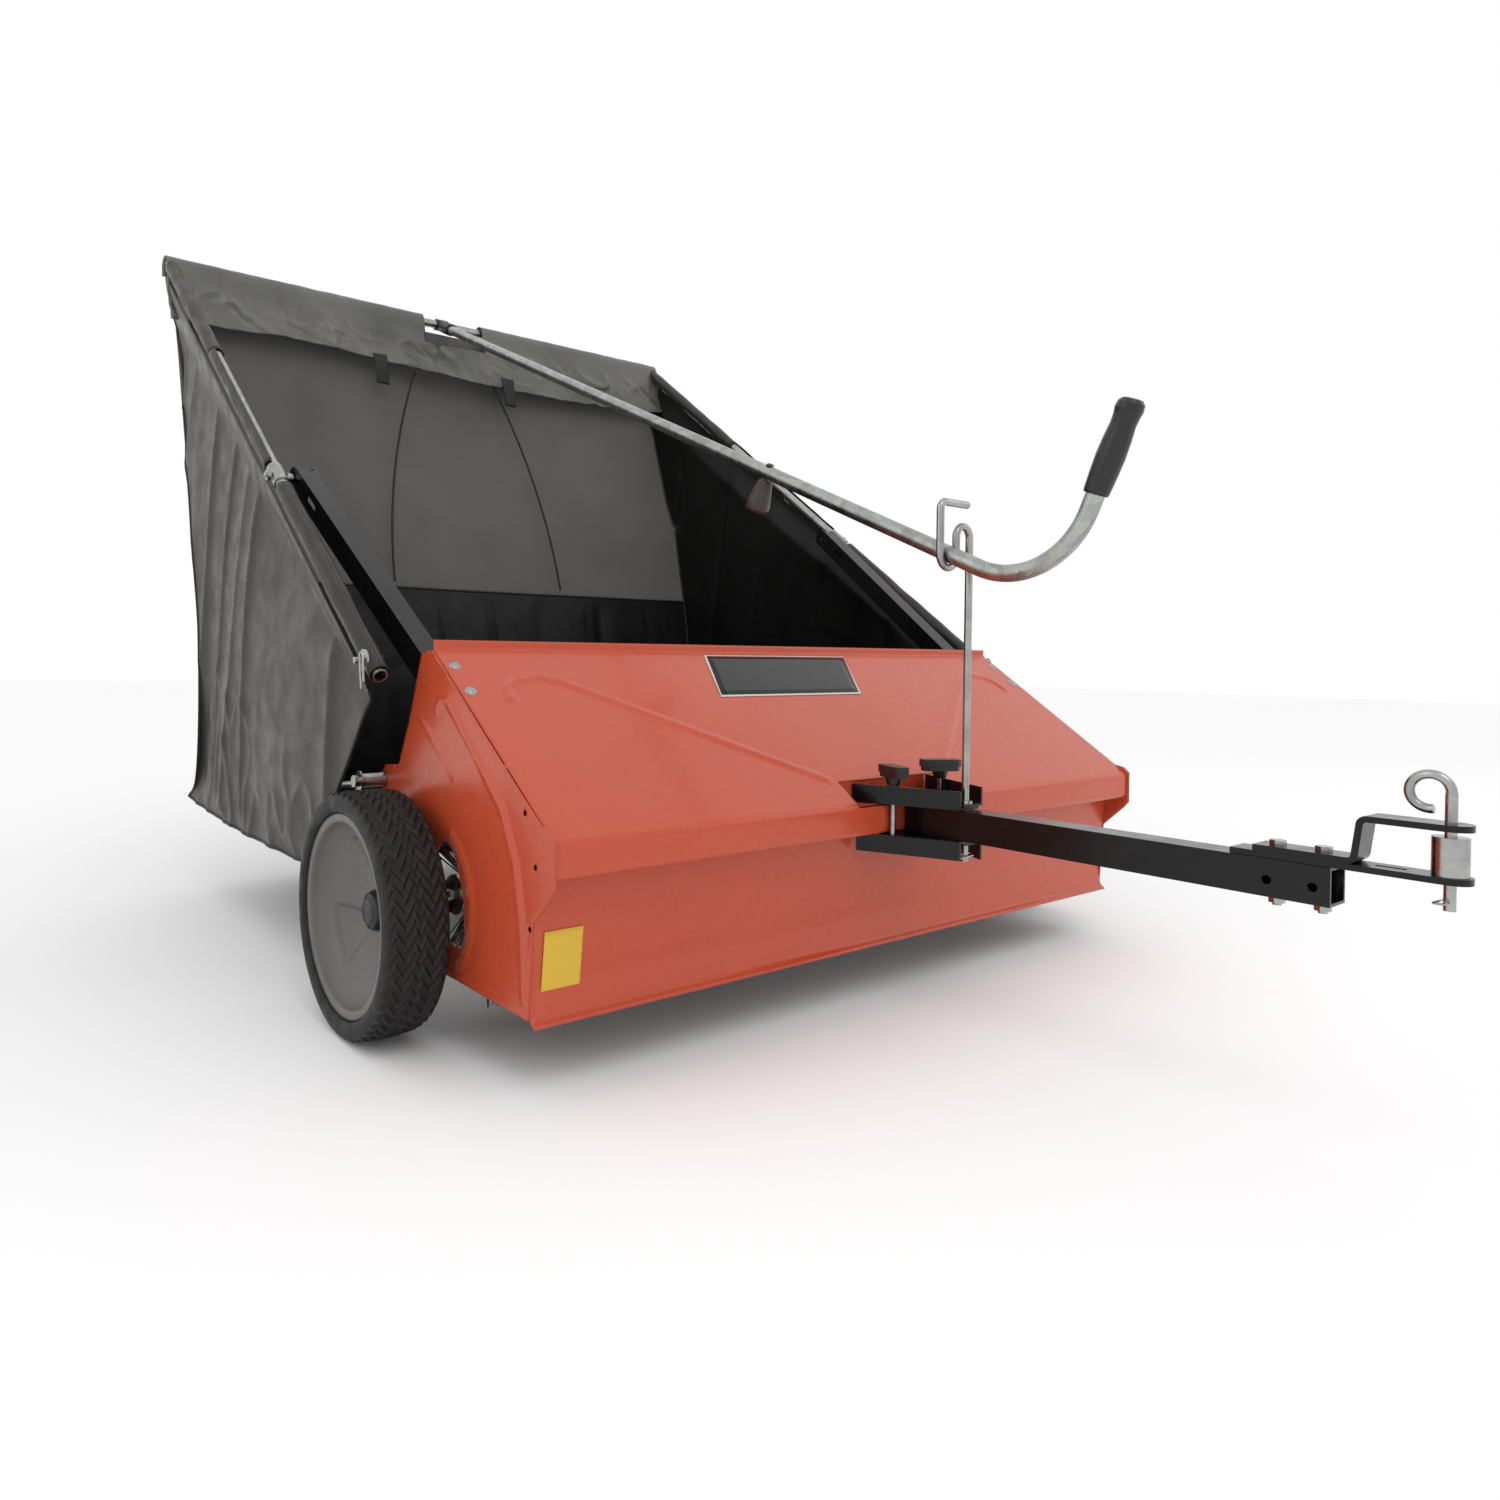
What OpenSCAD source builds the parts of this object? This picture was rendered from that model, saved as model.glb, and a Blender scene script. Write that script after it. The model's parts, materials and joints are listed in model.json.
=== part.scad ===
// Lawn sweeper for towing: sheet housing, ground-driven brush, tipping fabric hopper and dump handle.
// X runs across the machine, the hitch points to -Y, the hopper to +Y, the ground is z = 0.

/* [Housing] */
// Half width to the outer face of a side plate
side_x = 577; // [400:1:700]
// Sheet thickness of the plates and cover
sheet_t = 2; // [1:0.5:4]
// Half width of the raised lip on top of the cover
lip_x = 577; // [450:1:720]
// Height of a pressed bead
bead_h = 1.5; // [0.5:0.1:4]
// Width of a pressed bead
bead_w = 6; // [3:0.5:15]
// Half width of the pocket that takes the hitch brackets
pocket_x = 105; // [80:1:160]

/* [Wheels] */
// Tyre radius
wheel_r = 150; // [120:1:200]
// Tyre inner face from the centre plane
tyre_in = 606; // [580:1:700]
// Tyre width
tyre_w = 72; // [40:1:110]
// Rim radius at its outer flange
rim_r = 123; // [90:1:140]
// Stub axle radius
axle_r = 8; // [5:0.5:14]
// Hub cap radius
cap_r = 25; // [15:1:40]

/* [Drive and brush] */
// Gear module
gear_m = 4; // [2:0.5:6]
// Teeth of the ring gear in the wheel
ring_teeth = 62; // [40:1:80]
// Teeth of the drive pinion
pinion_teeth = 11; // [9:1:20]
// Direction of the brush shaft from the wheel axle, upwards from forward
brush_rest = 18; // [0:1:40]
// Height travel below rest
brush_down = 21; // [5:1:30]
// Height travel above rest
brush_up = 22; // [5:1:30]
// Brush shaft radius
shaft_r = 8; // [5:0.5:12]
// Brush core radius
core_r = 30; // [20:1:60]
// Bristle tip radius
bristle_r = 138; // [100:1:180]
// Number of bristle rows
bristle_rows = 6; // [3:1:8]

/* [Hitch] */
// Side of the square hitch tube
hitch_s = 38; // [25:1:60]
// Hitch tube wall
hitch_wall = 3; // [2:0.5:5]
// Height of the hitch tube centre
hitch_z = 258; // [200:1:320]
// Rear end of the hitch tube
hitch_y0 = -325; // [-400:1:-300]
// Front end of the hitch tube
hitch_y1 = -817; // [-1000:1:-600]
// Hitch pin radius
pin_r = 4.75; // [4:0.25:10]

/* [Hopper] */
// Half width to the hopper side tube centres
tube_x = 634; // [500:1:720]
// Radius of the hopper frame tubes
tube_r = 9.5; // [8:0.5:20]
// Thickness of the fabric stand-in
cloth_t = 3; // [2:0.5:6]
// Bow rod radius
bow_r = 2.5; // [1.5:0.5:5]

/* [Dump handle] */
// Sideways place of the handle at its clamp
handle_x = -14; // [-80:1:40]
// Handle tube radius
handle_r = 10.5; // [7:0.5:15]
// Rest rod radius
rest_r = 4.8; // [3:0.1:6]

/* [Hidden] */
$fn = 64;
eps = 0.1;
gap = 0.4;
run = 0.05;

// housing outline in the side view, [y, z]
plate_pts = [
    [-10, 466], [-18, 472], [-44, 473], [-174, 380.5], [-256, 322.8], [-300, 293], [-316, 290],
    [-326, 281], [-326, 232], [-318, 222], [-283, 188], [-277, 84], [118, 84], [128, 96], [128, 190],
    [67, 296], [23, 383]];
plate_tab = [[40, 330], [96, 319], [116, 300], [100, 276], [60, 262]];
cover_pts = [
    [-42, 487], [-42, 474.5], [-321, 278], [-321, 240], [-286, 240], [-274, 118], [-278, 84],
    [-287, 77]];
cover_top = [-42, 474.5];
nose = [-321, 278];
slope = atan2(cover_top[1] - nose[1], cover_top[0] - nose[0]);
arch_pts = [
    [-56, 402], [-66, 412], [-83, 414], [-166, 345], [-217, 299], [-246, 246], [-262, 178],
    [-268, 105]];
line_pts = [[-9, 390], [-98, 324]];
well_c = [-60, 170];
well_r = 92;
axle = [0, 150];
axle_in = 556;
orbit = gear_m * (ring_teeth - pinion_teeth) / 2;
slot_half = 22;
slot_r = orbit + 9;
brush = [axle[0] - orbit * cos(brush_rest), axle[1] + orbit * sin(brush_rest)];
tie = [98, 299];
tie_r = 9.5;
tie_end = 612;
ear_hole = [[-287, 248], [-265, 302], [-277.5, 181]];
ear_hole_r = 3.5;
oval_hole = [-13, 442];
bolt_spots = [[-70, 453], [-112, 424]];
bolt_x = 561;
bolt_down = 46;

// arms
arm_w = 32;
arm_deep = 34;
arm_t = 3;
arm_out = 577 - sheet_t - gap;
arm_y0 = -118;
arm_z0 = 471.5;
arm_rise = 0.762;
arm_tilt = atan(arm_rise);
arm_splay = 5.7;
arm_turn_y = 5;
pivot_y = 375;
pivot_r = 4;
arm_y1 = pivot_y - arm_deep / 2 * sin(arm_tilt);
arm_top_x = arm_out + (pivot_y - arm_turn_y) * tan(arm_splay);

// hopper frame
tube_lo = [-8, 448];
tube_hi = [1082, 1268];
tube_tilt = atan2(tube_hi[1] - tube_lo[1], tube_hi[0] - tube_lo[0]);
bag_x = 624;
bag_side = [
    [4, 436], [1074, 1241], [1092, 1246], [1074, 1153], [1040, 1062], [985, 888], [932, 761],
    [881, 563], [862, 373], [878, 200], [935, 177], [226, 163], [151, 268]];
back_pts = [
    [1092, 1246], [1074, 1153], [1040, 1062], [985, 888], [932, 761], [881, 563], [862, 373],
    [878, 200], [935, 177]];
floor_pts = [[935, 177], [226, 163], [151, 268]];
flap_pts = [[1074, 1244], [1056, 1190], [1042, 1136]];
flap_gap = [-70, 94];
bow_foot = [215, 884, 623];
bow_head = [105, 1031, 1127];
bow_bend = 1450;
lower_x = 608;
lower_r = 8;
lower_y0 = 240;
lower_y1 = 858;
lower_z = 190;
pin_y = 4;
stud_r = 3;

// dump handle path
handle_rise = atan2(tube_hi[1] - 603.5, tube_hi[0] + 404);
handle_yaw = 1.176;
joint_y = -89;
bend_y = -450;
grip_tilt = 67.5;
bend_radius = 105;

// ---------- helpers ----------
// line through the handle axis, height at a given y
function handle_z(y) = tube_hi[1] + (y - tube_hi[0]) * tan(handle_rise);
function arm_z(y) = arm_z0 + arm_rise * y;
function tube_z(y) = tube_lo[1] + (y - tube_lo[0]) * tan(tube_tilt);
function unit(v) = v / norm(v);
function nrm(a, b) = [-(unit(b - a))[1], (unit(b - a))[0]];
function miter(p, c, n, t) =
    let (n1 = nrm(p, c), n2 = nrm(c, n)) c + (n1 + n2) * t / (1 + n1 * n2);
// mitred offset of an open chain of points, to the left of its direction
function off(pts, t) = [for (i = [0:len(pts) - 1])
    i == 0 ? pts[0] + nrm(pts[0], pts[1]) * t
    : i == len(pts) - 1 ? pts[i] + nrm(pts[i - 1], pts[i]) * t
    : miter(pts[i - 1], pts[i], pts[i + 1], t)];
function rev(pts) = [for (i = [len(pts) - 1:-1:0]) pts[i]];

module strip(pts, t) {
    polygon(concat(pts, rev(off(pts, t))));
}

// 2D drawing in [y, z] pushed out between two x values
module across(x0, x1) {
    translate([x0, 0, 0])
        rotate([90, 0, 90])
            linear_extrude(x1 - x0)
                children();
}

// cylinder along X
module rod_x(x0, x1, c, r) {
    translate([x0, c[0], c[1]])
        rotate([0, 90, 0])
            cylinder(h = x1 - x0, r = r);
}

// cylinder between two points
module rod(a, b, r) {
    d = b - a;
    translate(a)
        rotate([0, acos(d[2] / norm(d)), atan2(d[1], d[0])])
            cylinder(h = norm(d), r = r);
}

// path line of constant width in a plane
module ribbon(pts, w) {
    polygon(concat(off(pts, w / 2), rev(off(pts, -w / 2))));
}

// points of an arc about c, from angle a0 to a1
function arc(c, r, a0, a1, n) = [for (i = [0:n]) c + r * [cos(a0 + (a1 - a0) * i / n),
    sin(a0 + (a1 - a0) * i / n)]];

module mirrored(side) {
    mirror([side < 0 ? 0 : 1, 0, 0])
        children();
}

// ring with its axis along X
module ring_x(x0, x1, c, ro, ri) {
    difference() {
        rod_x(x0, x1, c, ro);
        rod_x(x0 - 1, x1 + 1, c, ri);
    }
}

// ---------- housing ----------
// slot along the swing of the brush shaft, with round ends
module arc_slot() {
    lo = 180 - (brush_rest - brush_down);
    hi = 180 - (brush_rest + brush_up);
    lo_c = axle + slot_r * [cos(lo), sin(lo)];
    hi_c = axle + slot_r * [cos(hi), sin(hi)];
    polygon(concat(
        arc(axle, slot_r + slot_half, lo, hi, 12),
        arc(hi_c, slot_half, hi - 15, hi - 165, 8),
        arc(axle, slot_r - slot_half, hi, lo, 12),
        arc(lo_c, slot_half, lo + 165, lo + 15, 8)));
}

module plate_face() {
    difference() {
        union() {
            polygon(plate_pts);
            polygon(plate_tab);
        }
        arc_slot();
        translate(axle)
            circle(r = axle_r + run);
        translate(tie)
            circle(r = tie_r + gap);
        for (p = ear_hole)
            translate(p)
                circle(r = ear_hole_r, $fn = 24);
        translate(oval_hole)
            scale([0.7, 1])
                circle(r = 6, $fn = 32);
    }
}

module side_plate() {
    color([0.8, 0.3, 0.2]) {
        across(-side_x, -side_x + sheet_t)
            plate_face();
        across(-side_x - bead_h, -side_x + eps)
            ribbon(arch_pts, bead_w);
        across(-side_x - bead_h / 2, -side_x + eps)
            ribbon(line_pts, bead_w / 2);
        across(-side_x - bead_h, -side_x + eps)
            ribbon(arc(well_c, well_r, 115, 228, 18), bead_w);
    }
}

module side_plate_left() {
    side_plate();
}

module side_plate_right() {
    mirrored(1)
        side_plate();
}

module panel_beads() {
    ny = cos(slope);
    translate([0, cover_top[0], cover_top[1]])
        rotate([slope, 0, 0])
            translate([0, 0, -1])
                linear_extrude(1 + bead_h)
                    for (side = [-1, 1])
                        mirror([side < 0 ? 0 : 1, 0, 0])
                            ribbon([
                                [-515, -84 / ny], [-508, -66 / ny], [-490, -54 / ny],
                                [-455, -49 / ny], [-426, -57 / ny], [-269, -150 / ny],
                                [-122, -236 / ny]], bead_w);
}

module front_cover() {
    half = side_x - sheet_t - eps;
    color([0.82, 0.32, 0.22])
        difference() {
            union() {
                across(-half, half)
                    strip(cover_pts, sheet_t);
                panel_beads();
                translate([-lip_x, cover_top[0], cover_top[1] + 0.6])
                    cube([2 * lip_x, sheet_t, cover_pts[0][1] - cover_top[1] - 0.6]);
            }
            translate([-pocket_x, nose[0] - 1, nose[1]])
                cube([2 * pocket_x, 39, 60]);
            for (side = [-1, 1])
                for (p = bolt_spots)
                    translate([side * bolt_x, p[0], p[1]])
                        rotate([slope, 0, 0])
                            cylinder(h = 20, r = 4.2, center = true);
        }
    color([0.82, 0.32, 0.22]) {
        translate([-pocket_x, nose[0] + eps, nose[1] - sheet_t])
            cube([2 * pocket_x, 40, sheet_t]);
        translate([-pocket_x, nose[0] + 38, nose[1] - sheet_t])
            cube([2 * pocket_x, sheet_t, 29]);
        for (x = [-pocket_x, pocket_x - sheet_t])
            across(x, x + sheet_t)
                polygon([nose, nose + [40, 28], nose + [40, -sheet_t], nose + [0, -sheet_t]]);
    }
}

module rear_tie_tube() {
    color([0.7, 0.71, 0.72])
        ring_x(-tie_end, tie_end, tie, tie_r, tie_r - 1.8);
}

module tie_tube_bolts() {
    color([0.6, 0.6, 0.6])
        for (side = [-1, 1])
            mirrored(side) {
                rod_x(-tie_end - 2 - eps, -tie_end - eps, tie, 14);
                rod_x(-tie_end - 9, -tie_end - 1, tie, 8);
                rod_x(-tie_end - 2, -tie_end + 30, tie, 5);
            }
}

module cover_bolts() {
    color([0.85, 0.85, 0.85])
        for (side = [-1, 1])
            for (p = bolt_spots)
                translate([side * bolt_x, p[0], p[1]])
                    rotate([slope, 0, 0]) {
                        translate([0, 0, 1.6])
                            cylinder(h = 2, r1 = 8.5, r2 = 7.4);
                        translate([0, 0, 3.6 - eps])
                            cylinder(h = 1.6, r1 = 7.4, r2 = 4);
                        translate([0, 0, -bolt_down])
                            cylinder(h = bolt_down + 2, r = 4);
                    }
}

function pivot() = [pivot_y, tube_z(pivot_y)];

module arm_channel() {
    lead = 60;
    difference() {
        across(-arm_out, -arm_out + arm_w)
            difference() {
                union() {
                    polygon([
                        [arm_y0 + 22, arm_z(arm_y0 + 22) - arm_deep / cos(arm_tilt)],
                        [arm_y0, arm_z(arm_y0) - 22],
                        [arm_y0, arm_z(arm_y0)],
                        [arm_y1, arm_z(arm_y1)],
                        [arm_y1 + arm_deep * sin(arm_tilt),
                            arm_z(arm_y1) - arm_deep * cos(arm_tilt)]]);
                    translate([arm_y1 + arm_deep / 2 * sin(arm_tilt),
                        arm_z(arm_y1) - arm_deep / 2 * cos(arm_tilt)])
                        circle(r = arm_deep / 2 + 0.02);
                }
                translate([arm_y1 - lead, arm_z(arm_y1 - lead) - arm_deep / 2 - 4])
                    rotate(arm_tilt) {
                        translate([0, -5])
                            square([26, 10]);
                        circle(r = 5);
                        translate([26, 0])
                            circle(r = 5);
                    }
            }
        translate([-arm_out + arm_t, 0, 0])
            rotate([90, 0, 90])
                linear_extrude(arm_w - 2 * arm_t)
                    polygon([
                        [arm_y0 - lead, arm_z(arm_y0 - lead) - 150],
                        [arm_y0 - lead, arm_z(arm_y0 - lead) - arm_t / cos(arm_tilt)],
                        [arm_y1, arm_z(arm_y1) - arm_t / cos(arm_tilt)],
                        [arm_y1, arm_z(arm_y1) + lead], [arm_y1 + 100, arm_z(arm_y1) + lead],
                        [arm_y1 + 100, arm_z(arm_y1) - 150]]);
    }
}

module support_arm() {
    color([0.06, 0.06, 0.06])
        difference() {
            translate([-arm_out, arm_turn_y, 0])
                rotate([0, 0, arm_splay])
                    translate([arm_out, -arm_turn_y, 0])
                        arm_channel();
            rod_x(-arm_top_x - 20, -arm_top_x + 60, pivot(), pivot_r + run);
            for (p = bolt_spots)
                translate([-bolt_x, p[0], p[1]])
                    rotate([slope, 0, 0])
                        cylinder(h = 140, r = 4.2, center = true);
        }
}

module support_arm_left() {
    support_arm();
}

module support_arm_right() {
    mirrored(1)
        support_arm();
}

// ---------- wheels ----------
module wheel_axle() {
    color([0.6, 0.61, 0.62]) {
        rod_x(-tyre_in - 27, -axle_in, axle, axle_r);
        rod_x(-axle_in - 10 + 4, -axle_in + 6, axle, 18);
    }
}

module wheel_axle_left() {
    wheel_axle();
}

module wheel_axle_right() {
    mirrored(1)
        wheel_axle();
}

// solid of revolution about the wheel axle, profile in [radius, distance out from tyre_in]
module turned() {
    translate([-tyre_in, axle[0], axle[1]])
        rotate([0, -90, 0])
            rotate_extrude($fn = 128)
                children();
}

ring_pr = gear_m * ring_teeth / 2;
ring_in = ring_pr - gear_m;
ring_root = ring_pr + 1.25 * gear_m;
ring_out = 136;
gear_w0 = 8;
gear_w1 = 26;

module tyre() {
    color([0.05, 0.05, 0.05])
        turned()
            polygon([
                [ring_out, -7], [wheel_r - 7, -7], [wheel_r - 1.5, -2], [wheel_r, 7],
                [wheel_r, tyre_w - 14], [wheel_r - 1.5, tyre_w - 5], [wheel_r - 7, tyre_w],
                [rim_r + 1, tyre_w], [rim_r + 1, 34], [ring_out, 34]]);
}

module tyre_left() {
    tyre();
}

module tyre_right() {
    mirrored(1)
        tyre();
}

module wheel_rim() {
    color([0.5, 0.49, 0.47])
        turned()
            polygon([
                [axle_r + run, 2], [axle_r + run, 22], [30, 22], [52, 23], [70, 29], [96, 44],
                [108, 56], [113, 67], [rim_r + 0.6, 67], [rim_r + 0.6, 64], [116, 63], [111, 54],
                [101, 42.5], [104, 38], [104, 33], [ring_out - 0.4, 33], [ring_out - 0.4, 29.5],
                [96, 29.5], [96, 39], [88, 36], [70, 25], [54, 19], [26, 18], [20, 14], [20, 2]]);
}

module wheel_rim_left() {
    wheel_rim();
}

module wheel_rim_right() {
    mirrored(1)
        wheel_rim();
}

// internal teeth as a flat drawing
module ring_teeth_2d() {
    difference() {
        circle(r = ring_out - 0.4, $fn = 128);
        circle(r = ring_in, $fn = 128);
        for (i = [0:ring_teeth - 1])
            rotate(i * 360 / ring_teeth)
                polygon([
                    [ring_in - 3, -4.9], [ring_pr, -3.55], [ring_root, -2.2],
                    [ring_root, 2.2], [ring_pr, 3.55], [ring_in - 3, 4.9]]);
    }
}

module ring_gear() {
    color([0.15, 0.15, 0.15])
        translate([-tyre_in - gear_w0, axle[0], axle[1]])
            rotate([0, -90, 0])
                linear_extrude(gear_w1 - gear_w0)
                    rotate(brush_rest - 90)
                        ring_teeth_2d();
}

module ring_gear_left() {
    ring_gear();
}

module ring_gear_right() {
    mirrored(1)
        ring_gear();
}

module hub_cap() {
    color([0.04, 0.04, 0.04])
        translate([-tyre_in - 22 - gap, axle[0], axle[1]])
            rotate([0, -90, 0])
                rotate_extrude($fn = 96)
                    polygon([
                        [0, 6], [axle_r + 2, 6], [axle_r + 2, 0], [cap_r, 0], [cap_r, 3],
                        [cap_r - 3, 9], [cap_r - 10, 13], [0, 14.5]]);
}

module hub_cap_left() {
    hub_cap();
}

module hub_cap_right() {
    mirrored(1)
        hub_cap();
}

// ---------- brush drive ----------
pinion_pr = gear_m * pinion_teeth / 2;

module pinion_2d() {
    difference() {
        union() {
            circle(r = pinion_pr - 1.25 * gear_m - 0.5);
            for (i = [0:pinion_teeth - 1])
                rotate(i * 360 / pinion_teeth)
                    polygon([
                        [pinion_pr - 6.2, -3.3], [pinion_pr, -2.35], [pinion_pr + 2.2, -1.3],
                        [pinion_pr + 2.2, 1.3], [pinion_pr, 2.35], [pinion_pr - 6.2, 3.3]]);
        }
        circle(r = shaft_r + run);
    }
}

module drive_pinion() {
    color([0.7, 0.7, 0.7])
        translate([-tyre_in - gear_w0 - 1, brush[0], brush[1]])
            rotate([0, -90, 0])
                linear_extrude(gear_w1 - gear_w0 - 2)
                    rotate(brush_rest - 90)
                        pinion_2d();
}

module drive_pinion_left() {
    drive_pinion();
}

module drive_pinion_right() {
    mirrored(1)
        drive_pinion();
}

module brush_shaft() {
    color([0.6, 0.6, 0.62])
        rod_x(-tyre_in - gear_w1 - 1, tyre_in + gear_w1 + 1, brush, shaft_r);
}

core_end = 540;

module brush_core() {
    color([0.35, 0.35, 0.35])
        ring_x(-core_end, core_end, brush, core_r, shaft_r + run);
}

module brush_bristles() {
    color([0.08, 0.08, 0.08])
        for (i = [0:bristle_rows - 1])
            across(-core_end, core_end)
                translate(brush)
                    rotate(i * 360 / bristle_rows + 15)
                        polygon([
                            [core_r + gap, -5], [bristle_r - 8, -9], [bristle_r, -6],
                            [bristle_r, 6], [bristle_r - 8, 9], [core_r + gap, 5]]);
}

carrier_x = 568;
carrier_t = 4;

module brush_carrier() {
    ear = 24;
    color([0.72, 0.73, 0.74])
        difference() {
            across(-carrier_x - carrier_t, -carrier_x) {
                difference() {
                    union() {
                        translate(axle)
                            circle(r = ear);
                        translate(brush)
                            circle(r = ear);
                        translate(axle)
                            rotate(180 - brush_rest)
                                translate([0, -ear * 0.8])
                                    square([orbit, 1.6 * ear]);
                    }
                    translate(axle)
                        circle(r = axle_r + run);
                    translate(brush)
                        circle(r = 16 + run);
                }
            }
        }
}

module brush_carrier_left() {
    brush_carrier();
}

module brush_carrier_right() {
    mirrored(1)
        brush_carrier();
}

module brush_bearings() {
    color([0.3, 0.3, 0.3])
        for (side = [-1, 1])
            mirrored(side)
                ring_x(-carrier_x - carrier_t + 0.2, -carrier_x + 12, brush, 16, shaft_r + run);
}

// ---------- hitch ----------
plate_z = 278.4;
clamp_x = 50;
clamp_y = -329;
rest_y = -404;
rear_pin_y = -348;
bracket_t = 3;
flange_h = 24;

bracket_rear = [-80, -285];
bracket_front = [-24, -413];
bracket_side = [3.3, 0];

module bracket_plan() {
    polygon([bracket_rear, [-6, -285], [16, -330], [16, bracket_front[1]], bracket_front]);
}

module bracket_edge() {
    polygon([bracket_rear, bracket_rear + bracket_side, bracket_front + bracket_side, bracket_front]);
}

// z0 is the height in the stack, up = 1 turns the flange up
module bracket(side, z0, up) {
    color([0.04, 0.04, 0.04])
        mirror([side < 0 ? 0 : 1, 0, 0])
            difference() {
                union() {
                    translate([0, 0, z0])
                        linear_extrude(bracket_t)
                            bracket_plan();
                    translate([0, 0, up > 0 ? z0 : z0 + bracket_t - flange_h])
                        linear_extrude(flange_h)
                            bracket_edge();
                }
                for (p = [[-clamp_x, clamp_y, 4.5], [0, rest_y, rest_r + 0.3], [0, rear_pin_y, 4.5]])
                    translate([p[0], p[1], z0 - 1])
                        cylinder(h = bracket_t + 2, r = p[2], $fn = 32);
                if (up < 0)
                    translate([-200, -291, z0 - 40])
                        cube([400, 100, 80]);
            }
}

module hitch_bracket_upper_left() {
    bracket(-1, plate_z, 1);
}

module hitch_bracket_upper_right() {
    bracket(1, plate_z + bracket_t + eps, 1);
}

module hitch_bracket_lower_left() {
    bracket(-1, 239 - bracket_t - 0.8, -1);
}

module hitch_bracket_lower_right() {
    bracket(1, 239 - 2 * bracket_t - 0.9, -1);
}

module clamp_bolts() {
    color([0.75, 0.75, 0.75])
        for (side = [-1, 1])
            translate([side * clamp_x, clamp_y, 0]) {
                translate([0, 0, 224])
                    cylinder(h = 96, r = 4);
                translate([0, 0, 222])
                    cylinder(h = 5, r = 6.4, $fn = 32);
            }
}

module clamp_knob(z0, turn) {
    color([0.05, 0.05, 0.05])
        translate([0, 0, z0])
            rotate([0, 0, turn])
                difference() {
                    union() {
                        translate([0, 0, 10])
                            linear_extrude(6)
                                polygon([
                                    [-20, -9], [20, -9], [25, -6], [25, 6], [20, 9], [-20, 9],
                                    [-25, 6], [-25, -6]]);
                        translate([0, 0, 16 - eps])
                            linear_extrude(10)
                                polygon([
                                    [-22, -10], [22, -10], [27, -7], [27, 7], [22, 10], [-22, 10],
                                    [-27, 7], [-27, -7]]);
                        cylinder(h = 10 + eps, r1 = 8, r2 = 11);
                    }
                    translate([0, 0, -1])
                        cylinder(h = 20, r = 4 + run);
                }
}

knob_z = 303.2;

module clamp_knob_left() {
    translate([-clamp_x, clamp_y, 0])
        clamp_knob(knob_z, 68);
}

module clamp_knob_right() {
    translate([clamp_x, clamp_y, 0])
        clamp_knob(knob_z + 3.2, -30);
}

module hitch_tube() {
    length = hitch_y0 - hitch_y1;
    color([0.03, 0.03, 0.03])
        difference() {
            translate([-hitch_s / 2, hitch_y1, hitch_z - hitch_s / 2])
                cube([hitch_s, length, hitch_s]);
            translate([-hitch_s / 2 + hitch_wall, hitch_y1 - 1, hitch_z - hitch_s / 2 + hitch_wall])
                cube([hitch_s - 2 * hitch_wall, length + 2, hitch_s - 2 * hitch_wall]);
            translate([0, rest_y, hitch_z - 40])
                cylinder(h = 80, r = rest_r + 0.3, $fn = 32);
            for (y = [rear_pin_y, -765, -805])
                translate([0, y, hitch_z - 40])
                    cylinder(h = 80, r = 4.3, $fn = 32);
            for (y = [-762, -802])
                translate([-40, y, 256])
                    rotate([0, 90, 0])
                        cylinder(h = 80, r = 4.5, $fn = 32);
        }
}

strap_w = 34;
strap_t = 6;
strap_z = 277.2;
strap_end = -903;
strap_lift = 47;
z_y = -837;
z_run = 5;
z_bend = 9;

module hitch_strap_lower() {
    color([0.03, 0.03, 0.03])
        translate([0, 0, strap_z])
            difference() {
                linear_extrude(strap_t)
                    union() {
                        translate([-strap_w / 2, strap_end])
                            square([strap_w, 176]);
                        translate([0, strap_end])
                            circle(r = strap_w / 2);
                    }
                for (y = [-765, -805])
                    translate([0, y, -1])
                        cylinder(h = 10, r = 4.2, $fn = 32);
                translate([0, strap_end, -1])
                    cylinder(h = 10, r = pin_r + run);
                translate([-3, -871, -1])
                    cube([6, 24, 10]);
            }
}

module hitch_strap_upper() {
    z0 = strap_z + strap_t + eps;
    z1 = z0 + strap_lift - strap_t;
    lean = atan2(z_run, strap_lift - strap_t);
    low_c = [z_y + z_bend * tan(45 - lean / 2), z0 + z_bend];
    high_c = [z_y - z_run - (z_bend - strap_t) * tan(45 - lean / 2), z1 - z_bend + strap_t];
    up = concat(
        [[-748, z0]],
        arc(low_c, z_bend, -90, -180 + lean, 6),
        arc(high_c, z_bend - strap_t, lean, 90, 6),
        [[strap_end - strap_w, z1]]);
    color([0.03, 0.03, 0.03])
        difference() {
            intersection() {
                across(-strap_w / 2, strap_w / 2)
                    strip(up, -strap_t);
                translate([0, 0, z0 - 5])
                    linear_extrude(80)
                        union() {
                            translate([-strap_w / 2, strap_end])
                                square([strap_w, 200]);
                            translate([0, strap_end])
                                circle(r = strap_w / 2);
                        }
            }
            for (y = [-765, -805])
                translate([0, y, z0 - 1])
                    cylinder(h = 10, r = 4.2, $fn = 32);
            translate([0, strap_end, z0])
                cylinder(h = 80, r = pin_r + run);
        }
}

module hitch_strap_bolts() {
    color([0.7, 0.7, 0.7])
        for (y = [-765, -805])
            translate([0, y, 0]) {
                translate([0, 0, 229])
                    cylinder(h = 62, r = 4);
                translate([0, 0, strap_z + 2 * strap_t + 2 * eps])
                    cylinder(h = 5, r = 7.5, $fn = 6);
                translate([0, 0, 231.5])
                    cylinder(h = 7, r = 7.5, $fn = 6);
            }
}

spacer_h = 17.4;
spacer_z = strap_z + strap_t + 0.2;
upper_top = strap_z + strap_t + eps + strap_lift;

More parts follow.
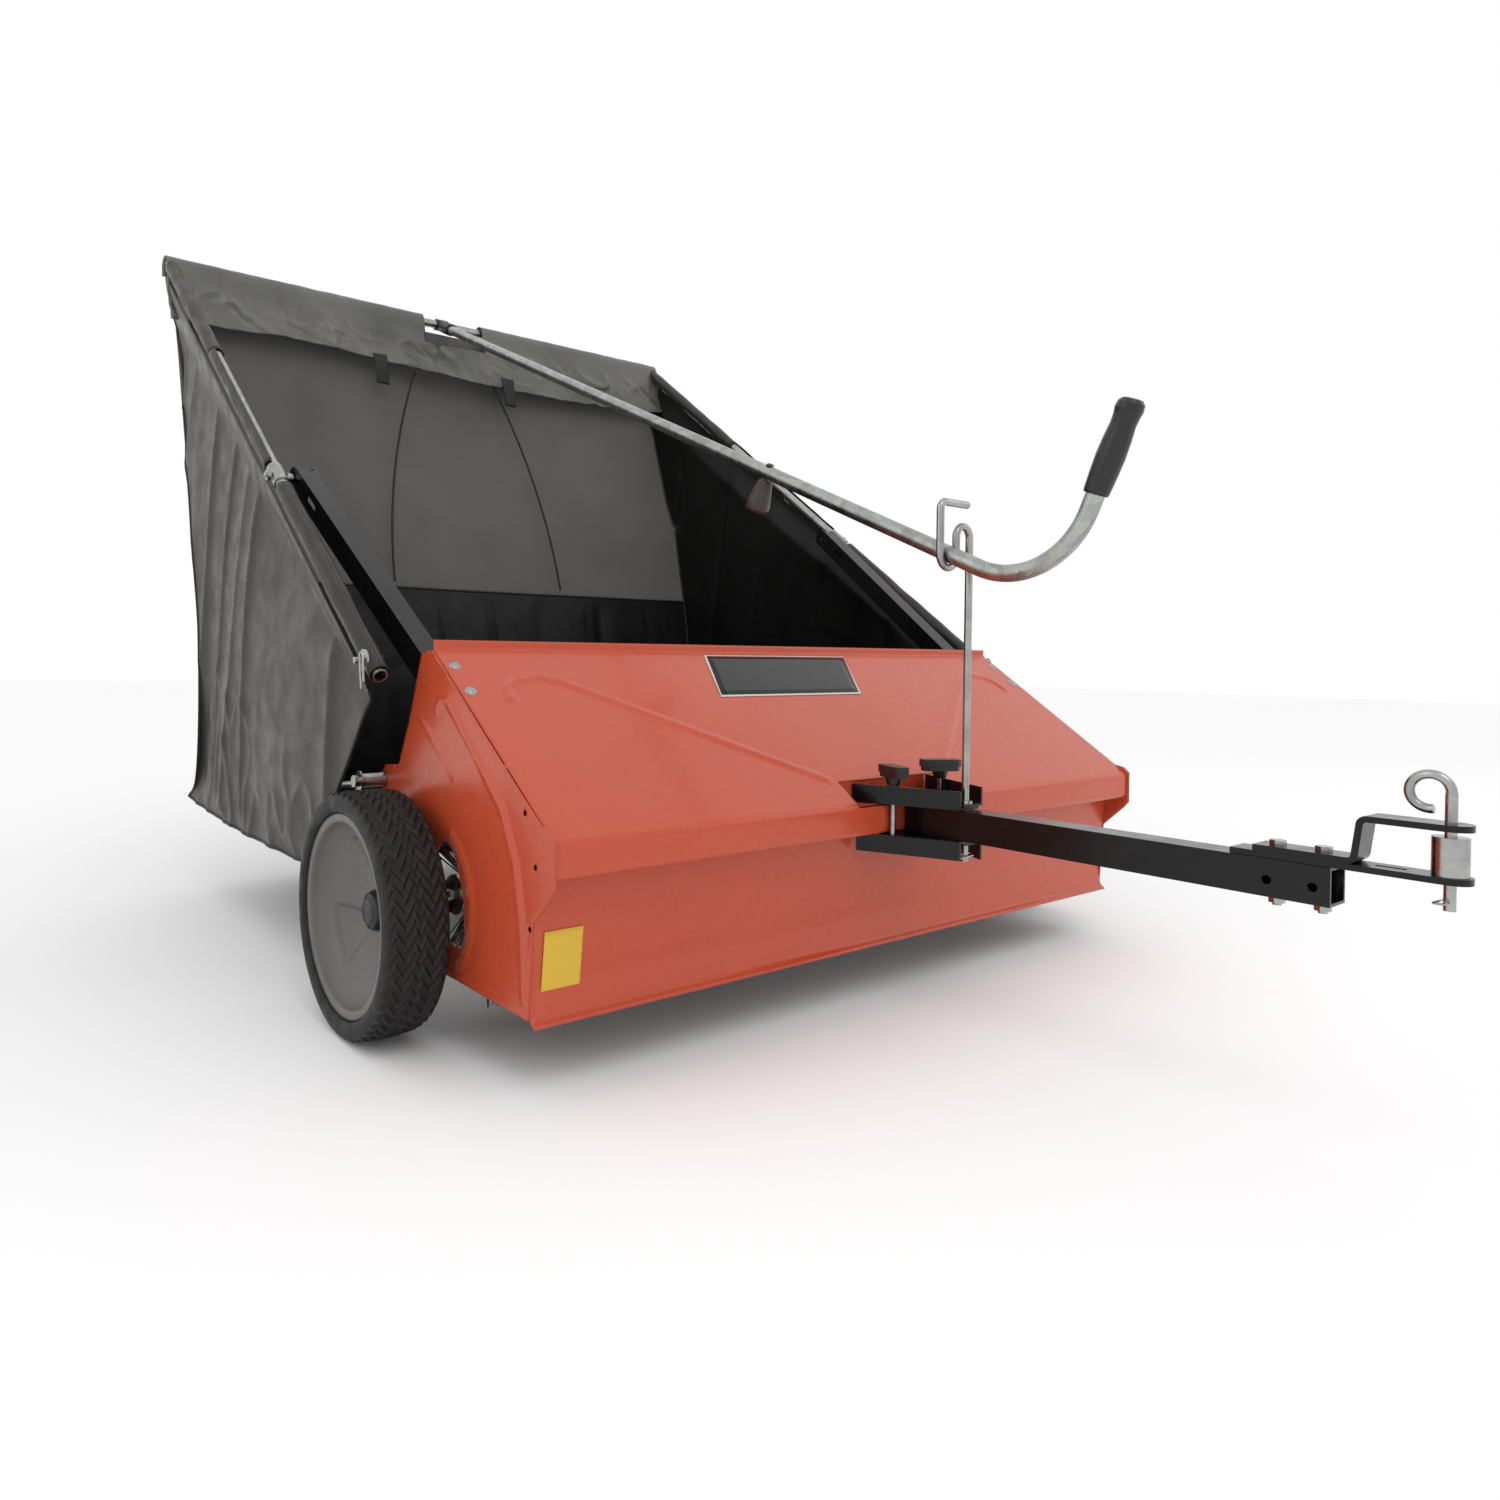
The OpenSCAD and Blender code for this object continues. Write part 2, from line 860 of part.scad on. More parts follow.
module hitch_spacers() {
    color([0.75, 0.75, 0.75])
        for (i = [0, 1])
            translate([0, strap_end, spacer_z + i * (spacer_h + 0.1)])
                difference() {
                    cylinder(h = spacer_h, r = 14);
                    translate([0, 0, -1])
                        cylinder(h = spacer_h + 2, r = pin_r + run);
                }
}

ring_r = 15.6;
ring_wire = 4.3;
ring_up = 27;

module hitch_pin() {
    color([0.75, 0.75, 0.75])
        translate([0, strap_end, 0])
            difference() {
                union() {
                    translate([0, 0, 252])
                        cylinder(h = upper_top + ring_up - 252, r = pin_r);
                    translate([0, ring_r, upper_top + ring_up])
                        rotate([90, 0, 90])
                            rotate([0, 0, -100])
                                rotate_extrude(angle = 280, $fn = 64)
                                    translate([ring_r, 0])
                                        circle(r = ring_wire, $fn = 32);
                }
                translate([-10, 0, 260])
                    rotate([0, 90, 0])
                        cylinder(h = 20, r = 1.3, $fn = 24);
            }
}

// hairpin clip along -Z from its cross leg, wire radius w
module hairpin(w) {
    color([0.8, 0.8, 0.8]) {
        rod([-14, 0, 0], [16, 0, 0], w);
        rod([-14, w * 2.6 + 5, 0], [10, w * 2.6 + 3, 0], w);
        translate([-14, (w * 2.6 + 5) / 2, 0])
            rotate([0, 0, 90])
                rotate_extrude(angle = 180, $fn = 48)
                    translate([(w * 2.6 + 5) / 2, 0])
                        circle(r = w, $fn = 24);
        translate([-14, 0, 0])
            sphere(r = w, $fn = 24);
    }
}

module hitch_pin_clip() {
    translate([0, strap_end, 260])
        hairpin(1.2);
}

// ---------- handle rest ----------
rest_top = 640;
loop_r = 14;
hook_r = 16.5;
hook_low = handle_z(rest_y) - handle_r / cos(handle_rise) - rest_r - 1.4;
hook_cz = hook_low + hook_r;
hook_top = 668;
turn_r = 9;

module torus_part(c, r, a0, a1) {
    translate([c[0], rest_y, c[1]])
        rotate([90, 0, 0])
            rotate([0, 0, a0])
                rotate_extrude(angle = a1 - a0, $fn = 96)
                    translate([r, 0])
                        circle(r = rest_r, $fn = 32);
}

module handle_rest_rod() {
    x1 = -2 * loop_r;
    x2 = x1 - 2 * hook_r;
    arc_z = rest_top - loop_r;
    color([0.75, 0.76, 0.77])
        difference() {
            union() {
                rod([0, rest_y, 210], [0, rest_y, arc_z], rest_r);
                torus_part([-loop_r, arc_z], loop_r, 0, 180);
                rod([x1, rest_y, hook_cz], [x1, rest_y, arc_z], rest_r);
                torus_part([x1 - hook_r, hook_cz], hook_r, 180, 360);
                rod([x2, rest_y, hook_cz], [x2, rest_y, hook_top - turn_r], rest_r);
                torus_part([x2 + turn_r, hook_top - turn_r], turn_r, 90, 180);
                rod([x2 + turn_r, rest_y, hook_top], [-6, rest_y, hook_top], rest_r);
                translate([0, rest_y, plate_z + 2 * bracket_t + eps + gap])
                    cylinder(h = 4, r = 9);
            }
            translate([-10, rest_y, 220])
                rotate([0, 90, 0])
                    cylinder(h = 20, r = 1.3, $fn = 24);
        }
}

module rest_rod_clip() {
    translate([0, rest_y, 220])
        rotate([205, 0, 0])
            hairpin(1.2);
}

module rear_hitch_pin() {
    color([0.75, 0.75, 0.75])
        translate([0, rear_pin_y, 0])
            difference() {
                union() {
                    translate([0, 0, 214])
                        cylinder(h = plate_z + 2 * bracket_t + 1 - 214, r = 4);
                    translate([0, 0, plate_z + 2 * bracket_t + eps + gap])
                        cylinder(h = 5, r = 7);
                }
                translate([-10, 0, 220])
                    rotate([0, 90, 0])
                        cylinder(h = 20, r = 1.3, $fn = 24);
            }
}

module rear_pin_clip() {
    translate([0, rear_pin_y, 220])
        rotate([205, 0, 0])
            hairpin(1.2);
}

// ---------- hopper ----------
module side_tube(side) {
    a = [side * tube_x, tube_lo[0], tube_lo[1]];
    b = [side * tube_x, tube_hi[0], tube_hi[1]];
    u = (b - a) / norm(b - a);
    color([0.72, 0.73, 0.74])
        difference() {
            rod(a - 12 * u, b + 4 * u, tube_r);
            rod(a - 20 * u, b - 20 * u, tube_r - 1.6);
            translate([side * (tube_x + 0.1), pin_y + 4, tube_z(pin_y + 4)])
                rotate([0, 90, 0])
                    cylinder(h = 60, r = 4 + run, center = true, $fn = 48);
            rod_x(side * (tube_x + 0.2) - 60, side * (tube_x + 0.2) + 60, pivot(), pivot_r + run);
            rod_x(-tube_x + tube_r - 2, tube_x - tube_r + 2, tube_hi, tube_r + 0.2);
        }
}

module hopper_side_tube_left() {
    side_tube(-1);
}

module hopper_side_tube_right() {
    side_tube(1);
}

module hopper_rear_tube() {
    w = tube_x - tube_r + 1;
    color([0.72, 0.73, 0.74])
        ring_x(-w, w, tube_hi, tube_r, tube_r - 1.6);
}

module hopper_lower_frame() {
    color([0.4, 0.4, 0.4]) {
        for (side = [-1, 1])
            rod([side * lower_x, lower_y0, lower_z], [side * lower_x, lower_y1 - 8, lower_z],
                lower_r);
        rod_x(-lower_x - lower_r - 2, lower_x + lower_r + 2, [lower_y1 - 8, lower_z], lower_r + 0.6);
    }
}

module hopper_bag() {
    color([0.3, 0.28, 0.27]) {
        for (side = [-1, 1])
            mirrored(side)
                across(-bag_x, -bag_x + cloth_t)
                    polygon(bag_side);
        across(-bag_x + eps, bag_x - eps)
            strip(rev(back_pts), cloth_t);
        across(-bag_x + eps, bag_x - eps)
            strip(rev(floor_pts), cloth_t);
    }
}

module bag_flap() {
    color([0.5, 0.5, 0.48])
        difference() {
            across(-bag_x + 6, bag_x - 6)
                strip(flap_pts, -2);
            translate([flap_gap[0], flap_pts[2][0] - 20, flap_pts[1][1]])
                cube([flap_gap[1] - flap_gap[0], 80, 100]);
        }
}

// arc rod from x0 at the foot to x1 at the top, bowed to one side with radius rr
module bow(x0, x1, rr, side) {
    rise = bow_head - bow_foot;
    a = [x0, 0];
    b = [x1, norm([rise[1], rise[2]])];
    c = norm(b - a) / 2;
    n = [(b - a)[1], -(b - a)[0]] / norm(b - a);
    mid = (a + b) / 2 - side * n * sqrt(rr * rr - c * c);
    s0 = atan2((a - mid)[1], (a - mid)[0]);
    s1 = atan2((b - mid)[1], (b - mid)[0]);
    turn = side > 0 ? s1 - s0 : (s0 < 0 ? s0 + 360 : s0) - s1;
    translate([0, bow_foot[1], bow_foot[2]])
        rotate([atan2(rise[2], rise[1]), 0, 0])
            translate([mid[0], mid[1], 0])
                rotate([0, 0, side > 0 ? s0 : s1])
                    rotate_extrude(angle = turn, $fn = 400)
                        translate([rr, 0])
                            circle(r = bow_r, $fn = 24);
}

module bow_rods() {
    color([0.1, 0.1, 0.1]) {
        bow(-bow_foot[0], -bow_head[0], bow_bend, -1);
        bow(bow_foot[0], bow_head[0], bow_bend, 1);
    }
}

clip_len = 46;
clip_t = 2.5;

module along_tube(y) {
    translate([-tube_x, y, tube_z(y)])
        rotate([tube_tilt - 90, 0, 0])
            children();
}

module pivot_clip() {
    color([0.72, 0.73, 0.74])
        difference() {
            along_tube(pivot_y)
                cylinder(h = clip_len, r = tube_r + clip_t, center = true);
            along_tube(pivot_y)
                cylinder(h = 400, r = tube_r + run, center = true);
            rod_x(-tube_x - 40, -tube_x + 60, pivot(), pivot_r + run);
        }
}

module pivot_clip_left() {
    pivot_clip();
}

module pivot_clip_right() {
    mirrored(1)
        pivot_clip();
}

module pivot_bolts() {
    out = tube_x + tube_r + clip_t;
    color([0.8, 0.8, 0.8])
        for (side = [-1, 1])
            mirrored(side) {
                rod_x(-out - 9, -arm_top_x + arm_t + 9, pivot(), pivot_r);
                rod_x(-out - 6, -out - gap, pivot(), 8);
                rod_x(-arm_top_x + arm_t + 1.4, -arm_top_x + arm_t + 7, pivot(), 7);
                ring_x(-tube_x + tube_r + clip_t + gap, -arm_top_x - 1.4, pivot(), 7,
                    pivot_r - eps);
            }
}

module hopper_front_pins() {
    y = pin_y + 4;
    color([0.8, 0.8, 0.8])
        for (side = [-1, 1])
            mirrored(side) {
                rod_x(-tube_x - tube_r - 14, -tube_x + tube_r + 2, [y, tube_z(y)], 4);
                rod_x(-tube_x - tube_r - 3, -tube_x - tube_r - gap, [y, tube_z(y)], 14);
                rod_x(-tube_x + tube_r + gap, -tube_x + tube_r + 3, [y, tube_z(y)], 6);
                translate([-tube_x - tube_r - 9, y, tube_z(y)])
                    rotate([0, 0, -90])
                        rotate([90, 80, 0])
                            scale([1.3, 1.3, 1.3])
                                translate([12, 4 / 1.3 + 1.3, 0])
                                    hairpin(1.2);
            }
}

// ---------- dump handle ----------
clamp_gap = 24;

module handle_place() {
    translate([handle_x, tube_hi[0], tube_hi[1]])
        rotate([0, 0, -handle_yaw])
            rotate([handle_rise, 0, 0])
                children();
}

function along(y) = (y - tube_hi[0]) / cos(handle_rise);

module handle_clamp() {
    color([0.04, 0.04, 0.04])
        difference() {
            union() {
                rod_x(handle_x - 15, handle_x + 15, tube_hi, tube_r + 4);
                handle_place()
                    rotate([90, 0, 0])
                        cylinder(h = 62, r = handle_r + 3.5);
            }
            rod_x(handle_x - 30, handle_x + 30, tube_hi, tube_r + 0.06);
            handle_place()
                translate([0, -clamp_gap, 0])
                    rotate([90, 0, 0])
                        cylinder(h = 60, r = handle_r + run);
        }
}

module handle_tube_rear() {
    color([0.72, 0.73, 0.72])
        handle_place()
            translate([0, -clamp_gap - 0.5, 0])
                rotate([90, 0, 0])
                    difference() {
                        cylinder(h = -along(joint_y) - clamp_gap - 0.5, r = handle_r);
                        translate([0, 0, -1])
                            cylinder(h = 2000, r = handle_r - 1.4);
                        translate([0, -20, -along(joint_y) - clamp_gap - 0.5 - 14])
                            rotate([-90, 0, 0])
                                cylinder(h = 40, r = stud_r + run);
                    }
}

bend_turn = handle_rise + grip_tilt;
front_len = along(joint_y) - along(bend_y);
grip_straight = 18;
grip_len = 106;

// front half: straight, bend upwards, straight into the grip
module handle_front_path(y_from, h, r) {
    handle_place()
        translate([0, along(joint_y) - 0.5, 0])
            rotate([90, 0, 0])
                translate([0, 0, y_from])
                    cylinder(h = h, r = r);
}

module handle_bend(r) {
    handle_place()
        translate([0, along(bend_y), bend_radius])
            rotate([90, 0, -90])
                rotate([0, 0, -90])
                    rotate_extrude(angle = bend_turn, $fn = 96)
                        translate([bend_radius, 0])
                            circle(r = r);
}

module grip_place() {
    handle_place()
        translate([0, along(bend_y), bend_radius])
            rotate([-bend_turn, 0, 0])
                translate([0, 0, -bend_radius])
                    rotate([90, 0, 0])
                        children();
}

module handle_tube_front() {
    color([0.72, 0.73, 0.72])
        difference() {
            union() {
                handle_front_path(-40, 41, handle_r - 1.5);
                handle_front_path(0, front_len - 0.5, handle_r);
                handle_bend(handle_r);
                grip_place()
                    cylinder(h = grip_straight + grip_len - 8, r = handle_r);
                handle_front_path(front_len - 6.5, 9, handle_r - 2);
                grip_place()
                    translate([0, 0, -3])
                        cylinder(h = 9, r = handle_r - 2);
            }
            joint_place()
                cylinder(h = 40, r = stud_r + run, center = true);
        }
}

module handle_grip() {
    g = handle_r;
    color([0.05, 0.05, 0.05])
        grip_place()
            translate([0, 0, grip_straight])
                rotate_extrude($fn = 96)
                    polygon([
                        [g + run, 0], [g + 2.6, 0], [g + 3.4, 3], [g + 4.4, 22], [g + 5, 42],
                        [g + 4.2, 62], [g + 2.8, 78], [g + 3.4, 88], [g + 4.6, 94], [g + 3.6, 101],
                        [g, 105], [g - 5, grip_len], [0, grip_len], [0, grip_len - 5],
                        [g + run, grip_len - 5]]);
}

module joint_place() {
    handle_place()
        translate([0, along(joint_y) + 14, 0])
            children();
}

module handle_knob() {
    color([0.12, 0.09, 0.08])
        joint_place() {
            translate([0, 0, -handle_r - 52])
                rotate_extrude($fn = 64)
                    polygon([
                        [0, 0], [12, 0], [16, 2], [18, 6], [18, 14], [17, 20], [11.5, 48], [9, 51],
                        [0, 51]]);
            translate([0, 0, -handle_r - 5])
                cylinder(h = 2 * handle_r + 6, r = stud_r);
            translate([0, 0, handle_r + gap])
                cylinder(h = 3, r1 = 7, r2 = 4);
        }
}

front_cover();
side_plate_left();
side_plate_right();
rear_tie_tube();
tie_tube_bolts();
cover_bolts();
support_arm_left();
support_arm_right();
wheel_axle_left();
wheel_axle_right();
tyre_left();
tyre_right();
wheel_rim_left();
wheel_rim_right();
ring_gear_left();
ring_gear_right();
hub_cap_left();
hub_cap_right();
drive_pinion_left();
drive_pinion_right();
brush_shaft();
brush_core();
brush_bristles();
brush_carrier_left();
brush_carrier_right();
brush_bearings();
hitch_bracket_upper_left();
hitch_bracket_upper_right();
hitch_bracket_lower_left();
hitch_bracket_lower_right();
clamp_bolts();
clamp_knob_left();
clamp_knob_right();
hitch_tube();
hitch_strap_lower();
hitch_strap_upper();
hitch_strap_bolts();
hitch_spacers();
hitch_pin();
hitch_pin_clip();
handle_rest_rod();
rest_rod_clip();
rear_hitch_pin();
rear_pin_clip();
hopper_side_tube_left();
hopper_side_tube_right();
hopper_rear_tube();
hopper_lower_frame();
hopper_bag();
bag_flap();
bow_rods();
pivot_clip_left();
pivot_clip_right();
pivot_bolts();
hopper_front_pins();
handle_clamp();
handle_tube_rear();
handle_tube_front();
handle_grip();
handle_knob();
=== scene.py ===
"""Lawn sweeper: fabric, tyres, rims, bristles and every material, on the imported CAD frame."""
import json
import math
import random

import bpy
from mathutils import Matrix, Vector, geometry, noise


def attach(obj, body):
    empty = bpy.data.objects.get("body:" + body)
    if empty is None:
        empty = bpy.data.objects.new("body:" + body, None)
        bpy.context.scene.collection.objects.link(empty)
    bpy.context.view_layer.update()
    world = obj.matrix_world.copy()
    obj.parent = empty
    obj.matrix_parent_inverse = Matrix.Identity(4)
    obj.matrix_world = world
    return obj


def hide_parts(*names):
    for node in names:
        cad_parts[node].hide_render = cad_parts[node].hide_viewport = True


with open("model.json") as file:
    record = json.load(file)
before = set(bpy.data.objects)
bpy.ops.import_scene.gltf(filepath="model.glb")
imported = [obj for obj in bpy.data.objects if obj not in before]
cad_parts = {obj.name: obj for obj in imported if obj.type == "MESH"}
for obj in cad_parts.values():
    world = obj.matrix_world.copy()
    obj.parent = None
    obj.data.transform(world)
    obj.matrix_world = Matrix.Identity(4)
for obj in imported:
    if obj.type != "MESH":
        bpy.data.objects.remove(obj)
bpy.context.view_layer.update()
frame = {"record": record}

# ---------------------------------------------------------------- places, metres, as in the CAD
AXLE = (0.0, 0.150)              # y, z of the wheel axle
WHEEL_R = 0.150
TYRE_IN = 0.599
TYRE_W = 0.079
RIM_IN = 0.606
RIM_R = 0.123
BRUSH = (-0.0970078, 0.1815197)
CORE_R = 0.030
BRISTLE_R = 0.138
BRUSH_HALF = 0.540
TUBE_X = 0.634
TUBE_R = 0.0095
TUBE_LOW = (-0.008, 0.448)
TUBE_HIGH = (1.082, 1.268)
SEAM_Z = 0.612                   # mesh above, vinyl below
SLEEVE_GAP = (-0.066, 0.090)     # bare stretch of the rear cross tube


# ---------------------------------------------------------------- small maths
def lerp(a, b, t):
    return a + (b - a) * t


def smooth(t):
    t = min(max(t, 0.0), 1.0)
    return t * t * (3 - 2 * t)


def along(points, t):
    """Point at 0..1 along a smooth curve through points, by length of its chords."""
    pts = [Vector(p) for p in points]
    lengths = [(b - a).length for a, b in zip(pts, pts[1:])]
    reach = t * sum(lengths)
    i = 0
    while i < len(lengths) - 1 and reach > lengths[i]:
        reach -= lengths[i]
        i += 1
    f = reach / lengths[i]
    p1, p2 = pts[i], pts[i + 1]
    p0 = pts[i - 1] if i else p1 * 2 - p2
    p3 = pts[i + 2] if i + 2 < len(pts) else p2 * 2 - p1
    return (p1 * 2 + (p2 - p0) * f + (p0 * 2 - p1 * 5 + p2 * 4 - p3) * f * f
            + (p1 * 3 - p0 - p2 * 3 + p3) * f ** 3) * 0.5


def folds(p, scale, seed=0.0):
    """Ridged noise, 0..1, long along the axis whose scale is small."""
    n = noise.noise(Vector((p[0] * scale[0] + seed, p[1] * scale[1], p[2] * scale[2])))
    return 1 - min(abs(n) * 2.2, 1.0)


def tube_z(y):
    slope = (TUBE_HIGH[1] - TUBE_LOW[1]) / (TUBE_HIGH[0] - TUBE_LOW[0])
    return TUBE_LOW[1] + (y - TUBE_LOW[0]) * slope


# ---------------------------------------------------------------- mesh helpers
def make(name, verts, faces, material, body, slot, shade=True):
    mesh = bpy.data.meshes.new(name)
    mesh.from_pydata([tuple(v) for v in verts], [], faces)
    mesh.validate()
    mesh.update()
    obj = bpy.data.objects.new(name, mesh)
    bpy.context.scene.collection.objects.link(obj)
    if shade:
        mesh.shade_smooth()
    mesh.materials.append(material)
    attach(obj, body)
    return obj


def grid(rows, cols, fn, keep=None):
    """Vertices and quads of a sheet fn(u, v), rows by cols; keep(u, v) says which quads stay."""
    verts = [Vector(fn(i / (rows - 1), j / (cols - 1)))
             for i in range(rows) for j in range(cols)]
    faces = []
    for i in range(rows - 1):
        for j in range(cols - 1):
            if keep is None or keep((i + 0.5) / (rows - 1), (j + 0.5) / (cols - 1)):
                a, b = i * cols + j, (i + 1) * cols + j
                faces.append((a, a + 1, b + 1, b))
    return verts, faces


def sweep(points, radius, sides=10, rough=0.0, seed=0.0):
    """Round tube along points, with closed ends."""
    pts = [Vector(p) for p in points]
    verts, faces = [], []
    for i, p in enumerate(pts):
        way = (pts[min(i + 1, len(pts) - 1)] - pts[max(i - 1, 0)]).normalized()
        side = way.cross(Vector((0, 0, 1)))
        if side.length < 1e-4:
            side = way.cross(Vector((0, 1, 0)))
        side.normalize()
        up = side.cross(way)
        for k in range(sides):
            a = 2 * math.pi * k / sides
            out = side * math.cos(a) + up * math.sin(a)
            bump = rough * noise.noise((p + out * 0.02) * 45 + Vector((seed, 0, 0)))
            verts.append(p + out * (radius + bump))
    for i in range(len(pts) - 1):
        for k in range(sides):
            m = (k + 1) % sides
            faces.append((i * sides + k, i * sides + m, (i + 1) * sides + m, (i + 1) * sides + k))
    faces.append(tuple(range(sides - 1, -1, -1)))
    faces.append(tuple((len(pts) - 1) * sides + k for k in range(sides)))
    return verts, faces


def joined(*pairs):
    verts, faces = [], []
    for v, f in pairs:
        shift = len(verts)
        verts += v
        faces += [tuple(i + shift for i in face) for face in f]
    return verts, faces


def thicken(obj, thickness):
    mod = obj.modifiers.new("cloth", "SOLIDIFY")
    mod.thickness = thickness
    mod.offset = 0
    return obj


# ---------------------------------------------------------------- materials
class Look:
    """A Principled material, with helpers for noise, colour and bump."""

    def __init__(self, name, color, rough, metal=0.0, **sockets):
        self.mat = bpy.data.materials.new(name)
        self.mat.use_nodes = True
        self.tree = self.mat.node_tree
        self.shader = self.tree.nodes["Principled BSDF"]
        self.color = color
        self.set("Base Color", (*color, 1))
        self.set("Roughness", rough)
        self.set("Metallic", metal)
        for key, value in sockets.items():
            self.set(key.replace("_", " ").title().replace("Ior", "IOR"), value)
        self.coord = self.node("ShaderNodeTexCoord").outputs["Object"]

    def set(self, socket, value):
        self.shader.inputs[socket].default_value = value

    def node(self, kind, **values):
        n = self.tree.nodes.new(kind)
        for key, value in values.items():
            if hasattr(n, key):
                setattr(n, key, value)
            else:
                n.inputs[key.replace("_", " ").title()].default_value = value
        return n

    def link(self, a, b):
        self.tree.links.new(a, b)

    def stretched(self, scale):
        m = self.node("ShaderNodeMapping")
        m.inputs["Scale"].default_value = scale
        self.link(self.coord, m.inputs["Vector"])
        return m.outputs["Vector"]

    def noise(self, scale, detail=4.0):
        n = self.node("ShaderNodeTexNoise", scale=scale, detail=detail)
        self.link(self.coord, n.inputs["Vector"])
        return n.outputs["Fac"]

    def cells(self, scale, stretch):
        n = self.node("ShaderNodeTexVoronoi", scale=scale)
        self.link(self.stretched(stretch), n.inputs["Vector"])
        return n

    def ramp(self, value, low, high, a=0.3, b=0.7):
        n = self.node("ShaderNodeMapRange")
        n.inputs["From Min"].default_value = a
        n.inputs["From Max"].default_value = b
        n.inputs["To Min"].default_value = low
        n.inputs["To Max"].default_value = high
        self.link(value, n.inputs["Value"])
        return n.outputs["Result"]

    def tint(self, value, other, a=0.35, b=0.65):
        """Base colour between the plain colour and another, by a noise value."""
        n = self.node("ShaderNodeMix", data_type="RGBA")
        n.inputs[6].default_value = (*self.color, 1)
        n.inputs[7].default_value = (*other, 1)
        self.link(self.ramp(value, 0, 1, a, b), n.inputs[0])
        self.link(n.outputs[2], self.shader.inputs["Base Color"])
        return self

    def rough(self, value, low, high, a=0.3, b=0.7):
        self.link(self.ramp(value, low, high, a, b), self.shader.inputs["Roughness"])
        return self

    def bump(self, value, depth, strength=0.5):
        n = self.node("ShaderNodeBump")
        n.inputs["Strength"].default_value = strength
        n.inputs["Distance"].default_value = depth
        self.link(value, n.inputs["Height"])
        old = self.shader.inputs["Normal"]
        if old.is_linked:
            self.link(old.links[0].from_socket, n.inputs["Normal"])
        self.link(n.outputs["Normal"], old)
        return self


def scaled(color, k):
    return tuple(c * k for c in color)


def orange_paint():
    look = Look("orange paint", (0.47, 0.064, 0.025), 0.26, coat_weight=0.10, coat_roughness=0.12,
                specular_ior_level=0.38)
    look.tint(look.noise(3.0, 2), (0.485, 0.068, 0.027))
    look.rough(look.noise(60, 3), 0.23, 0.30)
    return look.bump(look.noise(520, 2), 0.0002, 0.16).mat


def black_paint():
    look = Look("black powder coat", (0.0030, 0.0028, 0.0030), 0.20, coat_weight=0.05,
                specular_ior_level=0.28)
    look.tint(look.noise(8.0, 2), (0.0055, 0.005, 0.005))
    look.rough(look.noise(70, 3), 0.18, 0.28)
    return look.bump(look.noise(900, 2), 0.0002, 0.22).mat


def galvanised():
    look = Look("galvanised steel", (0.30, 0.31, 0.295), 0.30, 1.0)
    spangle = look.cells(130, (1, 0.55, 0.55))
    look.tint(spangle.outputs["Color"], (0.42, 0.43, 0.41), 0.2, 0.8)
    look.rough(look.noise(90, 4), 0.27, 0.42)
    return look.bump(look.noise(160, 5), 0.0003, 0.2).mat


def zinc():
    look = Look("bright zinc", (0.40, 0.40, 0.385), 0.20, 1.0)
    look.tint(look.noise(45, 3), (0.30, 0.305, 0.305))
    look.rough(look.noise(180, 3), 0.17, 0.30)
    return look.bump(look.noise(420, 2), 0.0001, 0.2).mat


def tyre_rubber():
    look = Look("tyre rubber", (0.010, 0.0092, 0.0088), 0.55, specular_ior_level=0.3)
    look.tint(look.noise(22, 5), (0.015, 0.0138, 0.013))
    look.rough(look.noise(60, 4), 0.45, 0.68)
    return look.bump(look.noise(700, 3), 0.0003, 0.3).mat


def rim_grey():
    look = Look("moulded rim grey", (0.118, 0.104, 0.098), 0.42)
    look.tint(look.noise(14, 3), (0.132, 0.118, 0.111))
    look.rough(look.noise(90, 3), 0.36, 0.50)
    return look.bump(look.noise(800, 2), 0.0002, 0.18).mat


def moulded(name, color, rough, grain=900, depth=0.0003):
    look = Look(name, color, rough)
    look.tint(look.noise(20, 3), scaled(color, 1.5))
    look.rough(look.noise(110, 3), rough - 0.06, rough + 0.08)
    return look.bump(look.noise(grain, 2), depth, 0.25).mat


def gear_steel():
    look = Look("gear steel", (0.36, 0.35, 0.34), 0.4, 1.0)
    look.tint(look.noise(60, 4), (0.26, 0.25, 0.24))
    return look.bump(look.noise(300, 3), 0.0002, 0.2).mat


def bristle_black():
    look = Look("bristle black", (0.014, 0.013, 0.013), 0.5)
    look.tint(look.noise(200, 3), (0.03, 0.028, 0.026))
    return look.mat


def vinyl(name, color, other, rough, gloss=0.32):
    look = Look(name, color, rough, specular_ior_level=gloss)
    look.tint(look.noise(7, 5), other, 0.3, 0.7)
    look.rough(look.noise(25, 4), rough - 0.08, rough + 0.10)
    weave = look.node("ShaderNodeTexWave", scale=420)
    weave.bands_direction = "Z"
    look.link(look.coord, weave.inputs["Vector"])
    look.bump(weave.outputs["Fac"], 0.0002, 0.12)
    return look.bump(look.noise(38, 6), 0.0025, 0.22).mat


def net():
    """Fine open net: a little light goes straight through it."""
    look = Look("hopper net", (0.088, 0.083, 0.077), 0.85, alpha=0.88)
    look.tint(look.noise(5, 4), (0.112, 0.106, 0.099), 0.3, 0.7)
    weave = look.node("ShaderNodeTexWave", scale=300)
    weave.bands_direction = "Z"
    look.link(look.coord, weave.inputs["Vector"])
    return look.bump(weave.outputs["Fac"], 0.0004, 0.3).mat


